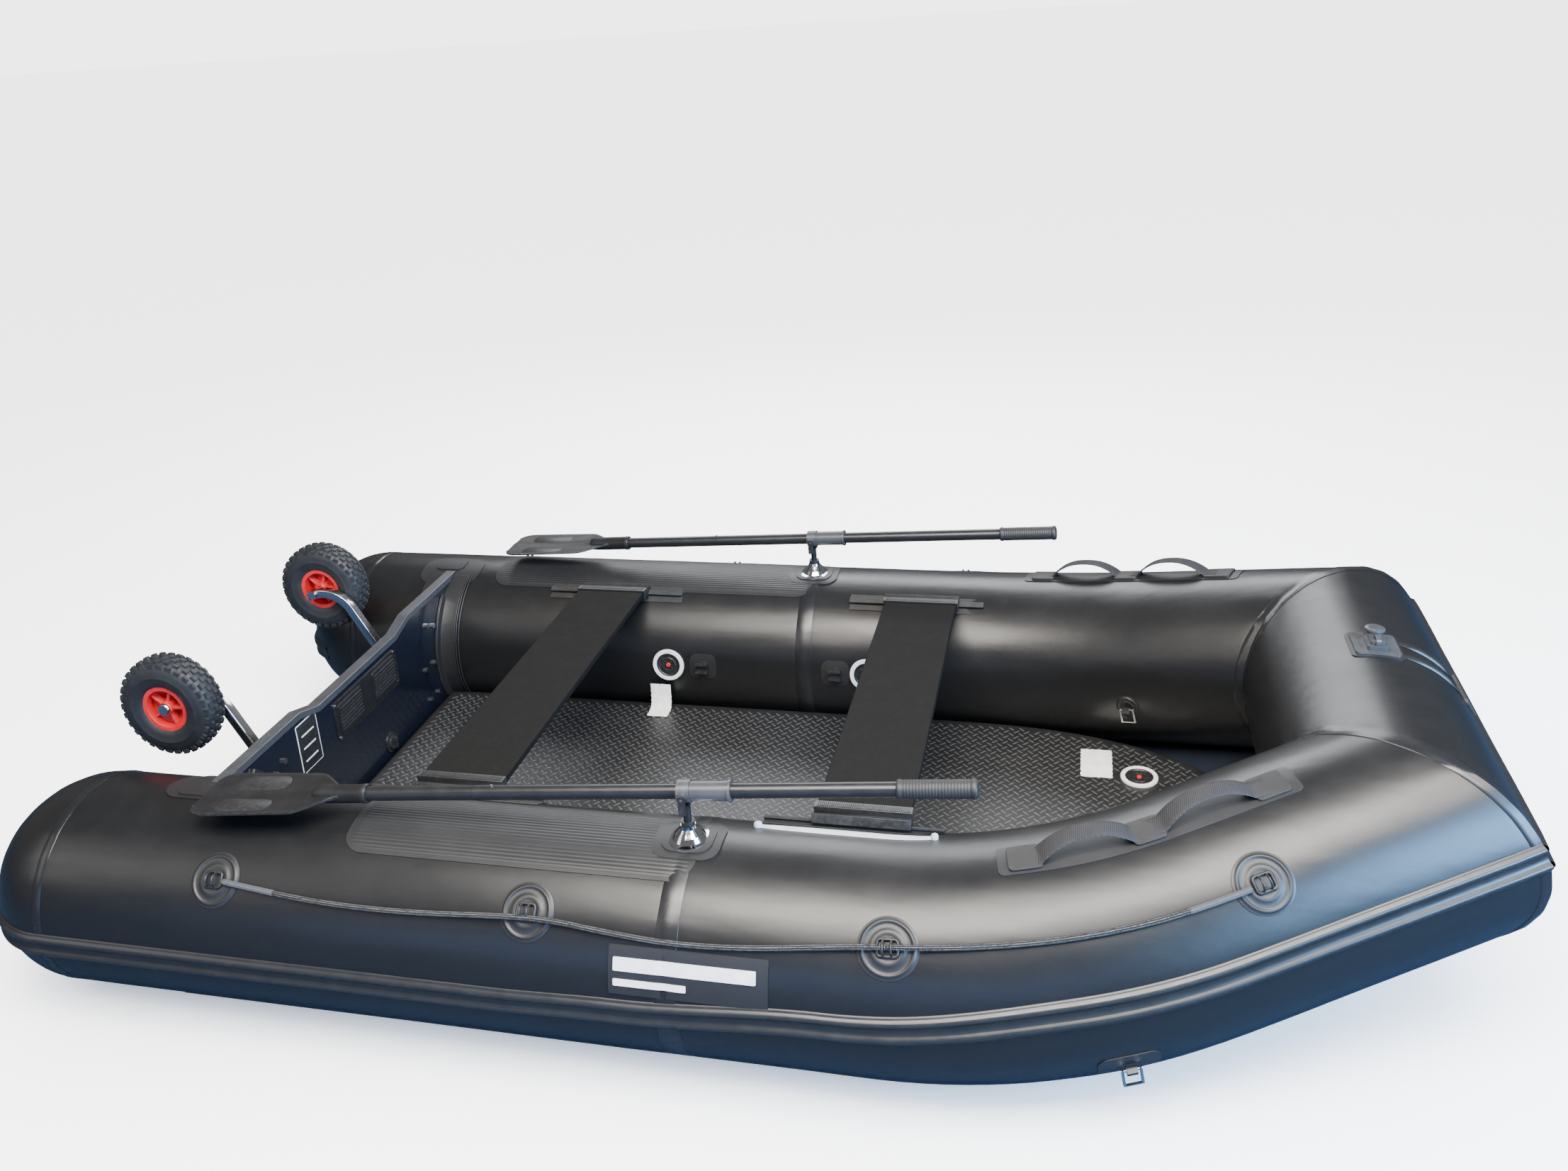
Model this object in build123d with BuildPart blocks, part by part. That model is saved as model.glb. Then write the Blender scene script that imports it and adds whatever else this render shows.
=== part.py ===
"""Inflatable dinghy with an air deck, a transom with launching wheels, two seats and two oars.

All sizes are millimetres. +X points to the bow, +Y to port and +Z up. Z = 0 is the ground under
the keel, Y = 0 the centre line, and X = 0 the middle of the overall length.
Angles round a side tube are counted from straight outboard (0) over the top (90) to inboard (180).
"""
import os
from math import cos, degrees, pi, radians, sin, tan

from build123d import *

os.makedirs("parts", exist_ok=True)

# ---- driving dimensions ------------------------------------------------------------------------

hull_length = 3200          # tail domes to the front of the bow tube
tube_diameter = 450
tube_spacing = 1260         # between the two side tube axes
fabric = 1.5                # wall of the coated fabric
seam_gap = 0.5              # between neighbouring fabric panels
running_gap = 0.05          # radial play of a shaft in its hole
side_gap = 0.5              # play beside a moving piece

tail_length = 512           # dome tip to the transom's inner face
rowlock_station = 1620      # dome tip to the rowlocks and the middle seams
shoulder_station = 375      # rowlocks to the start of the bow shoulder
shoulder_radius = 1355
shoulder_turn = 25.6        # degrees that the shoulder turns
shoulder_tilt = 31.7        # degrees that its bend plane rises from the horizontal
shoulder_panels = 3

strake_height = 10
strake_half_angle = 8       # degrees of the tube that half the strake covers
strake_angle = -3
strake_rib = 7              # radius of the two ribs
tail_wrap = 150             # degrees that the strake runs round a tail dome

flap_low = -115             # inboard edge of the bottom's flap on a tube, degrees
flap_high = -48             # outboard edge

deck_thickness = 50
deck_skin = 2.5             # one drop-stitch skin with its coating
deck_height = 122           # top of the air deck
deck_half_width = 430
deck_front_station = 1190   # rowlocks to the nose of the deck
keel_radius = 33
keel_front_station = 440

transom_thickness = 25
transom_top = 443
transom_bottom = 32
motor_notch = 24
motor_notch_top = 540
motor_notch_bottom = 390
trim_depth = 18
holder_gap = 6
holder_width = 130
holder_flange = 3
holder_wall = 8
holder_rise = 26

pad_width = 112
pad_height = 86
pad_thickness = 6
pad_rib_pitch = 10
pad_spacing = 170
pad_centre_z = 336
pad_offset = 20

wheel_diameter = 260
wheel_width = 75
tyre_wall = 8
rim_radius = 55
axle_radius = 8
wheel_y = 338
wheel_station = 222         # tail dome tip to the wheel's axle, raised for the water
wheel_height = 494
arm_size = 25
arm_wall = 2
arm_y = 284
arm_bend_radius = 90
bracket_thickness = 4
pivot_radius = 6
pivot_reach = 32            # transom's outer face to the pivot
pivot_height = 196

seat_width = 195
seat_thickness = 18
seat_top = 447
seat_half_length = 486
aft_seat_station = -568     # from the rowlocks
fore_seat_station = 324
rail_angle = 121
rail_width = 50
rail_length = 404
bead_bottom = 9             # tube to the underside of the rail's head
bead_width = 16
bead_height = 5
stem_width = 6
cap_margin = 4

oar_height = 108            # tube top to the oar in its rowlock
oar_slope = 4
oar_yaw = 2
oar_length = 1640
shaft_radius = 15
shaft_wall = 1.5
blade_length = 385
blade_width = 155
blade_thickness = 7
grip_radius = 18.5
grip_length = 154
sleeve_radius = 19.5
sleeve_length = 95
collar_radius = 22.5
collar_length = 26
cone_radius = 34
cone_height = 34
rowlock_pin_radius = 8
button_radius = 3

valve_radius = 46
valve_pocket = 42           # radius of the hole that a valve's body fills
valve_bore = 34
valve_flange = 5
valve_depth = 20
valve_pin_radius = 6
valve_angle = 173
fore_valve_station = 178    # from the rowlocks
aft_valve_station = -392
deck_valve_station = 896
deck_valve_y = 200
patch_thickness = 2
lifeline_angle = 42
lifeline_patch_radius = 56
lifeline_radius = 5

side_names = ("port", "starboard")
grip_reach = {"port": 687, "starboard": 571}

# ---- places that follow from them --------------------------------------------------------------

handle_angle = 29           # front handle, degrees above the bow tube's middle
handle_height = 52
tube_r = tube_diameter / 2
half_spacing = tube_spacing / 2
tube_z = tube_r + fabric
handle_overhang = (tube_r + handle_height) * cos(radians(handle_angle)) - tube_r
tail_x = -(hull_length + strake_height + handle_overhang) / 2 + strake_height
dome_x = tail_x + tube_r
bow_x = tail_x + hull_length - tube_r
transom_x = tail_x + tail_length
transom_back = transom_x - transom_thickness
rowlock_x = tail_x + rowlock_station
shoulder_x = rowlock_x + shoulder_station
wheel_x = tail_x + wheel_station

turn = radians(shoulder_turn)
inward = Vector(0, -cos(radians(shoulder_tilt)), sin(radians(shoulder_tilt)))
forward = Vector(1, 0, 0)
shoulder_start = Vector(shoulder_x, half_spacing, tube_z)
bend_direction = forward.cross(inward)
shoulder_axis = Axis(shoulder_start + inward * shoulder_radius, bend_direction)


def side_section(x):
    """Plane across a side tube: local x outboard, local y up."""
    return Plane(origin=(x, half_spacing, tube_z), x_dir=(0, 1, 0), z_dir=(1, 0, 0))


def shoulder_section(angle):
    """The same plane after the tube has turned by this many degrees."""
    a = radians(angle)
    centre = shoulder_start + forward * (shoulder_radius * sin(a))
    centre = centre + inward * (shoulder_radius * (1 - cos(a)))
    outboard = Vector(0, 1, 0).rotate(Axis((0, 0, 0), bend_direction), angle)
    return Plane(origin=centre, x_dir=outboard, z_dir=forward * cos(a) + inward * sin(a))


run_start = shoulder_section(shoulder_turn)
run_direction = run_start.z_dir
run_length = (bow_x - run_start.origin.X) / run_direction.X
corner = run_start.origin + run_direction * run_length
across = Vector(0, -1, 0)
mitre = Plane(origin=corner, z_dir=(run_direction + across).normalized())
bow_outboard = run_start.x_dir - mitre.z_dir * (2 * run_start.x_dir.dot(mitre.z_dir))
bow_section = Plane(origin=(bow_x, 0, corner.Z), x_dir=bow_outboard, z_dir=across)


def run_section(distance):
    """Plane across the straight run to the bow, this far from the end of the shoulder."""
    return Plane(run_start.origin + run_direction * distance, run_start.x_dir, run_direction)


def section_at(distance):
    """Plane across the tube, this far along its axis from the rowlocks."""
    if distance <= shoulder_station:
        return side_section(rowlock_x + distance)
    along = distance - shoulder_station
    if along <= shoulder_radius * turn:
        return shoulder_section(degrees(along / shoulder_radius))
    return run_section(along - shoulder_radius * turn)


def skin_plane(section, angle, height=0.0):
    """Plane on the tube's surface: local z outward, local x along the tube."""
    outward = section.x_dir * cos(radians(angle)) + section.y_dir * sin(radians(angle))
    return Plane(section.origin + outward * (tube_r + height), section.z_dir, outward)


def tube_body(radius):
    """The side tube's outer form as a solid of this radius, from the dome to past the mitre."""
    start = side_section(dome_x)
    straight = extrude(start * Circle(radius), shoulder_x - dome_x)
    bend = revolve(side_section(shoulder_x) * Circle(radius), shoulder_axis, shoulder_turn)
    run = extrude(run_start * Circle(radius), run_length)
    dome = Pos(*start.origin) * Sphere(radius)
    return straight + bend + run + dome


def ring_sector(inner, outer, start_angle, end_angle):
    """A band round the tube, from one angle to the other."""
    reach = 2 * outer
    middle = (start_angle + end_angle) / 2
    corners = [(0, 0)]
    for angle in (start_angle, middle, end_angle):
        corners.append((reach * cos(radians(angle)), reach * sin(radians(angle))))
    return (Circle(outer) - Circle(inner)) & make_face(Polyline(*corners, close=True))


def two_ribbed_band():
    """The rub strake's profile: a flat band on the tube with two ribs."""
    low = strake_angle - strake_half_angle
    high = strake_angle + strake_half_angle
    rib_r = tube_r + strake_height - strake_rib
    band = ring_sector(tube_r, rib_r, low, high)
    for angle in (low + strake_half_angle / 2, high - strake_half_angle / 2):
        a = radians(angle)
        band = band + Pos(rib_r * cos(a), rib_r * sin(a)) * Circle(strake_rib)
    return band - Circle(tube_r)


# ---- tubes: fabric panels that meet at their seams ----------------------------------------------

fore_valve = skin_plane(section_at(fore_valve_station), valve_angle)
aft_valve = skin_plane(section_at(aft_valve_station), valve_angle)
valve_cutters = []
for valve_plane in (fore_valve, aft_valve):
    valve_cutters.append(extrude(valve_plane.offset(-40) * Circle(valve_pocket + side_gap), 60))

wall_ring = Circle(tube_r) - Circle(tube_r - fabric)
strake_profile = two_ribbed_band()
dome_profile = wall_ring & Rectangle(tube_r, tube_r, align=(Align.MAX, Align.MIN))
panel_turn = shoulder_turn / shoulder_panels
gap_turn = degrees(seam_gap / (shoulder_radius - tube_r))

for side in side_names:
    with BuildPart() as tube:
        with BuildSketch(run_section(seam_gap)):
            add(wall_ring)
        extrude(amount=run_length + tube_diameter)
        split(bisect_by=Plane(mitre.origin - mitre.z_dir * seam_gap, z_dir=mitre.z_dir), keep=Keep.BOTTOM)
        for panel in range(shoulder_panels):
            with BuildSketch(shoulder_section(panel * panel_turn)):
                add(wall_ring)
            revolve(axis=shoulder_axis, revolution_arc=panel_turn - gap_turn)
        with BuildSketch(side_section(rowlock_x + seam_gap)):
            add(wall_ring)
        extrude(amount=shoulder_station - 2 * seam_gap)
        with BuildSketch(side_section(dome_x + seam_gap)):
            add(wall_ring)
        extrude(amount=rowlock_x - dome_x - 2 * seam_gap)
        with BuildSketch(Plane(origin=(dome_x, half_spacing, tube_z))):
            add(dome_profile)
        revolve(axis=Axis((dome_x, half_spacing, tube_z), (1, 0, 0)))
        if side == "starboard":
            mirror(about=Plane.XZ, mode=Mode.REPLACE)
        else:
            for cutter in valve_cutters:
                add(cutter, mode=Mode.SUBTRACT)
    tube.part.label = f"{side}_tube"
    export_step(tube.part, f"parts/{side}_tube.step")

with BuildPart() as bow_tube:
    with BuildSketch(bow_section):
        add(wall_ring)
    extrude(amount=corner.Y + tube_diameter, both=True)
    for port in (1, -1):
        cut = Vector(mitre.z_dir.X, mitre.z_dir.Y * port, mitre.z_dir.Z)
        place = Vector(corner.X, corner.Y * port, corner.Z) + cut * seam_gap
        split(bisect_by=Plane(place, z_dir=cut), keep=Keep.TOP)
bow_tube.part.label = "bow_tube"
export_step(bow_tube.part, "parts/bow_tube.step")

with BuildPart() as tube_baffles:
    for side_y in (half_spacing, -half_spacing):
        with BuildSketch(Plane(origin=(rowlock_x + seam_gap, side_y, tube_z), z_dir=(1, 0, 0))):
            Circle(tube_r - fabric - seam_gap)
        extrude(amount=fabric)
tube_baffles.part.label = "tube_baffles"
export_step(tube_baffles.part, "parts/tube_baffles.step")

with BuildPart() as side_strakes:
    with BuildSketch(run_section(seam_gap)):
        add(strake_profile)
    extrude(amount=run_length + tube_diameter)
    split(bisect_by=Plane(mitre.origin - mitre.z_dir * seam_gap, z_dir=mitre.z_dir), keep=Keep.BOTTOM)
    for panel in range(shoulder_panels):
        with BuildSketch(shoulder_section(panel * panel_turn)):
            add(strake_profile)
        revolve(axis=shoulder_axis, revolution_arc=panel_turn - gap_turn)
    with BuildSketch(side_section(dome_x + seam_gap)):
        add(strake_profile)
    extrude(amount=shoulder_x - dome_x - 2 * seam_gap)
    with BuildSketch(side_section(dome_x)):
        add(strake_profile)
    revolve(axis=Axis((dome_x, half_spacing, tube_z), (0, 0, 1)), revolution_arc=tail_wrap)
    mirror(about=Plane.XZ)

with BuildPart() as rub_strake:
    with BuildSketch(bow_section):
        add(strake_profile)
    extrude(amount=corner.Y + tube_diameter, both=True)
    for port in (1, -1):
        cut = Vector(mitre.z_dir.X, mitre.z_dir.Y * port, mitre.z_dir.Z)
        place = Vector(corner.X, corner.Y * port, corner.Z) + cut * seam_gap
        split(bisect_by=Plane(place, z_dir=cut), keep=Keep.TOP)
    add(side_strakes.part)
rub_strake.part.label = "rub_strake"
export_step(rub_strake.part, "parts/rub_strake.step")

# ---- bottom, keel and deck ----------------------------------------------------------------------

bottom_flap = ring_sector(tube_r, tube_r + fabric, flap_low, flap_high)
keel_edge_y = half_spacing + (tube_r + fabric) * cos(radians(flap_low))
keel_edge_z = tube_z + (tube_r + fabric) * sin(radians(flap_low))


def bottom_section(x, half_width, keel_z, edge_z):
    """A shallow V of fabric across the hull at x."""
    points = [(-half_width, edge_z), (0, keel_z), (half_width, edge_z)]
    points += [(half_width, edge_z + fabric), (0, keel_z + fabric), (-half_width, edge_z + fabric)]
    across = Plane(origin=(x, 0, 0), x_dir=(0, 1, 0), z_dir=(1, 0, 0))
    return across * make_face(Polyline(*points, close=True))


bow_sections = [bottom_section(shoulder_x, keel_edge_y, 0, keel_edge_z)]
for share, keel_z, keel_width in ((0.55, 8, 400), (0.85, 40, 285), (0.97, 110, 150)):
    bow_sections.append(
        bottom_section(shoulder_x + share * (bow_x - shoulder_x), keel_width, keel_z, keel_z + 52)
    )

with BuildPart() as hull_bottom:
    with BuildSketch(side_section(transom_back)):
        add(bottom_flap)
    extrude(amount=shoulder_x - transom_back - seam_gap)
    mirror(about=Plane.XZ)
    with BuildSketch(Plane(origin=(transom_back, 0, 0), x_dir=(0, 1, 0), z_dir=(1, 0, 0))):
        with BuildLine():
            Polyline(
                (0, 0), (keel_edge_y, keel_edge_z), (keel_edge_y, keel_edge_z + fabric), (0, fabric),
                (0, 0),
            )
        make_face()
        mirror(about=Plane.YZ)
    extrude(amount=shoulder_x - transom_back - seam_gap)
    loft(sections=bow_sections, ruled=True)
hull_bottom.part.label = "hull_bottom"
export_step(hull_bottom.part, "parts/hull_bottom.step")

with BuildPart() as keel_tube:
    with BuildSketch(Plane(origin=(transom_x + 30, 0, keel_radius + 2 * fabric), z_dir=(1, 0, 0))):
        Circle(keel_radius)
        Circle(keel_radius - fabric, mode=Mode.SUBTRACT)
    extrude(amount=rowlock_x + keel_front_station - transom_x)
keel_tube.part.label = "keel_tube"
export_step(keel_tube.part, "parts/keel_tube.step")

deck_x = transom_x + 10
deck_nose_x = rowlock_x + deck_front_station
deck_valve_x = rowlock_x + deck_valve_station

with BuildPart() as air_deck:
    with BuildSketch(Plane.XY.offset(deck_height - deck_thickness)):
        with BuildLine():
            straight_edge = Line((deck_x, 0), (deck_x, deck_half_width))
            side_edge = Line(straight_edge @ 1, (shoulder_x + 20, deck_half_width))
            Spline(
                side_edge @ 1, (shoulder_x + 345, 402), (shoulder_x + 615, 320), (deck_nose_x, 0),
                tangents=(side_edge % 1, (0, -1)),
            )
            Line((deck_nose_x, 0), (deck_x, 0))
        make_face()
        mirror(about=Plane.XZ)
    extrude(amount=deck_thickness)
    fillet(air_deck.edges().group_by(Axis.Z)[-1] + air_deck.edges().group_by(Axis.Z)[0], 18)
    offset(amount=-deck_skin, mode=Mode.SUBTRACT)
    with Locations((deck_valve_x, deck_valve_y, deck_height)):
        Cylinder(
            valve_pocket + side_gap, valve_depth + 4,
            align=(Align.CENTER, Align.CENTER, Align.MAX), mode=Mode.SUBTRACT,
        )
air_deck.part.label = "air_deck"
export_step(air_deck.part, "parts/air_deck.step")

# ---- valves -------------------------------------------------------------------------------------

deck_valve = Plane(origin=(deck_valve_x, deck_valve_y, deck_height), x_dir=(1, 0, 0), z_dir=(0, 0, 1))
valve_planes = {"fore": fore_valve, "aft": aft_valve, "deck": deck_valve}

with BuildPart() as air_valves:
    for valve_plane in valve_planes.values():
        with BuildSketch(valve_plane.offset(seam_gap)):
            Circle(valve_radius)
            Circle(valve_bore, mode=Mode.SUBTRACT)
        extrude(amount=valve_flange)
        with BuildSketch(valve_plane.offset(seam_gap)):
            Circle(valve_pocket)
            Circle(valve_bore, mode=Mode.SUBTRACT)
        extrude(amount=-valve_depth)
        with BuildSketch(valve_plane.offset(-valve_depth + seam_gap)):
            Circle(valve_pocket)
            Circle(valve_pin_radius + running_gap, mode=Mode.SUBTRACT)
        extrude(amount=4)
air_valves.part.label = "air_valves"
export_step(air_valves.part, "parts/air_valves.step")

for name, valve_plane in valve_planes.items():
    with BuildPart() as valve_pin:
        with BuildSketch(valve_plane.offset(-valve_depth - 4)):
            Circle(valve_pin_radius)
        extrude(amount=valve_depth)
        with BuildSketch(valve_plane.offset(-valve_depth - 8)):
            Circle(18)
        extrude(amount=4)
    valve_pin.part.label = f"{name}_valve_pin"
    export_step(valve_pin.part, f"parts/{name}_valve_pin.step")

# ---- transom ------------------------------------------------------------------------------------


def transom_outline(grow=0.0):
    """The board between the two tubes, with a low notch for the motor in its top edge."""
    top = transom_top + grow
    half = half_spacing
    points = [(-half, transom_bottom - grow), (half, transom_bottom - grow), (half, top)]
    points += [(motor_notch_top / 2 - grow, top), (motor_notch_bottom / 2 - grow, top - motor_notch)]
    points += [(-motor_notch_bottom / 2 + grow, top - motor_notch), (-motor_notch_top / 2 + grow, top)]
    points.append((-half, top))
    board = make_face(Polyline(*points, close=True))
    for side_y in (half_spacing, -half_spacing):
        board = board - Pos(side_y, tube_z) * Circle(tube_r + holder_gap - grow)
    return board


board_outline = transom_outline()
trim_band = transom_outline(3) - Pos(0, -trim_depth) * transom_outline(3)
trim_band = trim_band & Pos(0, transom_top) * Rectangle(tube_spacing, 2 * (motor_notch + trim_depth))
transom_plane = Plane(origin=(transom_back, 0, 0), x_dir=(0, 1, 0), z_dir=(1, 0, 0))
drain_y = 90
drain_z = 145               # the plug's head stays clear of the air deck as it is pulled
drain_radius = 14

bracket_y = arm_y + 36
bracket_bolt_ys = (bracket_y, bracket_y + 48)
bracket_bolt_zs = (pivot_height - 50, pivot_height + 46)
bolt_radius = 4
bolt_head_radius = 7.5
bolt_places = []
for side_sign in (1, -1):
    for bolt_y in bracket_bolt_ys:
        for bolt_z in bracket_bolt_zs:
            bolt_places.append((side_sign * bolt_y, bolt_z))
ring_bolt_places = [(356, 366), (390, 350), (-356, 366), (-390, 350)]

with BuildPart() as transom_board:
    with BuildSketch(transom_plane):
        add(board_outline)
        with Locations(*bolt_places, *ring_bolt_places):
            Circle(bolt_radius + running_gap, mode=Mode.SUBTRACT)
        with Locations((drain_y, drain_z)):
            Circle(drain_radius + 4, mode=Mode.SUBTRACT)
    extrude(amount=transom_thickness)
transom_board.part.label = "transom_board"
export_step(transom_board.part, "parts/transom_board.step")

with BuildPart() as transom_trim:
    with BuildSketch(transom_plane.offset(-3)):
        add(trim_band)
    extrude(amount=transom_thickness + 6)
    with BuildSketch(transom_plane):
        add(board_outline)
    extrude(amount=transom_thickness, mode=Mode.SUBTRACT)
transom_trim.part.label = "transom_trim"
export_step(transom_trim.part, "parts/transom_trim.step")

holder_low = 228
holder_high = 110
holder_middle = transom_x - transom_thickness / 2
flange_band = ring_sector(tube_r + seam_gap, tube_r + holder_flange, holder_high, holder_low)
wall_band = ring_sector(tube_r + holder_flange, tube_r + holder_rise, holder_high + 21, holder_low)

with BuildPart() as transom_holders:
    with BuildSketch(side_section(holder_middle - holder_width / 2)):
        add(flange_band)
    extrude(amount=holder_width)
    for wall_x in (transom_back - holder_wall - side_gap, transom_x + side_gap):
        with BuildSketch(side_section(wall_x)):
            add(wall_band)
        extrude(amount=holder_wall)
    mirror(about=Plane.XZ)
transom_holders.part.label = "transom_holders"
export_step(transom_holders.part, "parts/transom_holders.step")

pad_plane = Plane(origin=(transom_x, 0, 0), x_dir=(0, 1, 0), z_dir=(1, 0, 0))
outer_pad_plane = Plane(origin=(transom_back, 0, 0), x_dir=(0, -1, 0), z_dir=(-1, 0, 0))
pad_ys = (pad_offset - pad_spacing / 2, pad_offset + pad_spacing / 2)
rib_count = int(pad_height // pad_rib_pitch) - 1
plate_width = pad_spacing + pad_width + 30
plate_height = pad_height + 22
screw_places = []
for screw_y in (pad_offset - plate_width / 2 + 9, pad_offset + plate_width / 2 - 9):
    for screw_z in (pad_centre_z - plate_height / 2 + 8, pad_centre_z + plate_height / 2 - 8):
        screw_places.append((screw_y, screw_z))

with BuildPart() as motor_pads:
    with BuildSketch(pad_plane):
        with Locations((pad_offset, pad_centre_z)):
            RectangleRounded(plate_width, plate_height, 14)
        with Locations(*screw_places):
            Circle(2.5, mode=Mode.SUBTRACT)
    extrude(amount=3)
    for pad_y in pad_ys:
        with BuildSketch(pad_plane.offset(3)):
            with Locations((pad_y, pad_centre_z)):
                RectangleRounded(pad_width, pad_height, 8)
        extrude(amount=pad_thickness - 3)
        with BuildSketch(pad_plane.offset(pad_thickness)):
            with Locations((pad_y, pad_centre_z)):
                with GridLocations(0, pad_rib_pitch, 1, rib_count):
                    Rectangle(pad_width - 10, pad_rib_pitch / 2)
        extrude(amount=2)
    with BuildSketch(outer_pad_plane):
        with Locations((-pad_offset, pad_centre_z - 20)):
            RectangleRounded(plate_width, plate_height + 40, 14)
    extrude(amount=3)
motor_pads.part.label = "motor_pads"
export_step(motor_pads.part, "parts/motor_pads.step")

with BuildPart() as transom_fasteners:
    for place in bolt_places + ring_bolt_places:
        with BuildSketch(transom_plane.offset(-bracket_thickness)):
            with Locations(place):
                Circle(bolt_radius)
        extrude(amount=transom_thickness + bracket_thickness + 3)
        with BuildSketch(transom_plane.offset(transom_thickness)):
            with Locations(place):
                RegularPolygon(bolt_head_radius, 6)
        extrude(amount=7)
        with BuildSketch(transom_plane.offset(-bracket_thickness)):
            with Locations(place):
                RegularPolygon(bolt_head_radius, 6)
        extrude(amount=-5)
    for place in screw_places:
        with BuildSketch(pad_plane.offset(0.2)):
            with Locations(place):
                Circle(2.5)
        extrude(amount=3)
        with BuildSketch(pad_plane.offset(3)):
            with Locations(place):
                Circle(4.5)
        extrude(amount=2)
transom_fasteners.part.label = "transom_fasteners"
export_step(transom_fasteners.part, "parts/transom_fasteners.step")

with BuildPart() as drain_socket:
    with BuildSketch(transom_plane):
        with Locations((drain_y, drain_z)):
            Circle(drain_radius + 4)
            Circle(drain_radius, mode=Mode.SUBTRACT)
    extrude(amount=transom_thickness)
    for face_plane, out in ((transom_plane, -3), (transom_plane.offset(transom_thickness), 3)):
        with BuildSketch(face_plane):
            with Locations((drain_y, drain_z)):
                Circle(drain_radius + 14)
                Circle(drain_radius, mode=Mode.SUBTRACT)
        extrude(amount=out)
drain_socket.part.label = "drain_socket"
export_step(drain_socket.part, "parts/drain_socket.step")

with BuildPart() as drain_plug:
    with BuildSketch(transom_plane.offset(-3)):
        with Locations((drain_y, drain_z)):
            Circle(drain_radius - running_gap)
    extrude(amount=transom_thickness + 6.3)
    with BuildSketch(transom_plane.offset(transom_thickness + 3.3)):
        with Locations((drain_y, drain_z)):
            Circle(drain_radius + 5)
    extrude(amount=6)
    with BuildSketch(transom_plane.offset(transom_thickness + 9.3)):
        with Locations((drain_y, drain_z)):
            Rectangle(6, 30)
    extrude(amount=9)
drain_plug.part.label = "drain_plug"
export_step(drain_plug.part, "parts/drain_plug.step")

# ---- launching wheels ---------------------------------------------------------------------------

pivot_x = transom_back - pivot_reach
ear_gap = arm_size + 2 * side_gap
ear_reach = pivot_reach + 14
ear_height = 52
pivot_half = 26             # half the pivot pin's length
arm_foot = 16               # the arm's length past its pivot
arm_top_x = wheel_x + 74
arm_top_z = wheel_height + 18
hub_length = 58

with BuildPart() as wheel_brackets:
    for side_sign in (1, -1):
        with BuildSketch(outer_pad_plane):
            with Locations((-side_sign * (bracket_y - 1), pivot_height)):
                RectangleRounded(114, 132, 10)
            for bolt_y in bracket_bolt_ys:
                for bolt_z in bracket_bolt_zs:
                    with Locations((-side_sign * bolt_y, bolt_z)):
                        Circle(bolt_radius + running_gap, mode=Mode.SUBTRACT)
        extrude(amount=bracket_thickness)
        for ear_y in (arm_y - ear_gap / 2 - bracket_thickness, arm_y + ear_gap / 2):
            ear_plane = Plane(origin=(0, side_sign * ear_y, 0), x_dir=(1, 0, 0), z_dir=(0, side_sign, 0))
            with BuildSketch(ear_plane):
                with Locations((transom_back - ear_reach / 2, -side_sign * pivot_height)):
                    Rectangle(ear_reach, ear_height)
            extrude(amount=bracket_thickness)
        pin_plane = Plane(
            origin=(0, side_sign * (arm_y - pivot_half), 0), x_dir=(1, 0, 0), z_dir=(0, side_sign, 0)
        )
        with BuildSketch(pin_plane):
            with Locations((pivot_x, -side_sign * pivot_height)):
                Circle(pivot_radius)
        extrude(amount=2 * pivot_half)
wheel_brackets.part.label = "wheel_brackets"
export_step(wheel_brackets.part, "parts/wheel_brackets.step")

arm_points = [
    (pivot_x + 5, arm_y, pivot_height - arm_foot),
    (pivot_x - 5 * 4, arm_y, pivot_height + 4 * arm_foot),
    (arm_top_x, arm_y, arm_top_z),
    (wheel_x - 16, arm_y, wheel_height - 7),
]

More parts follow.
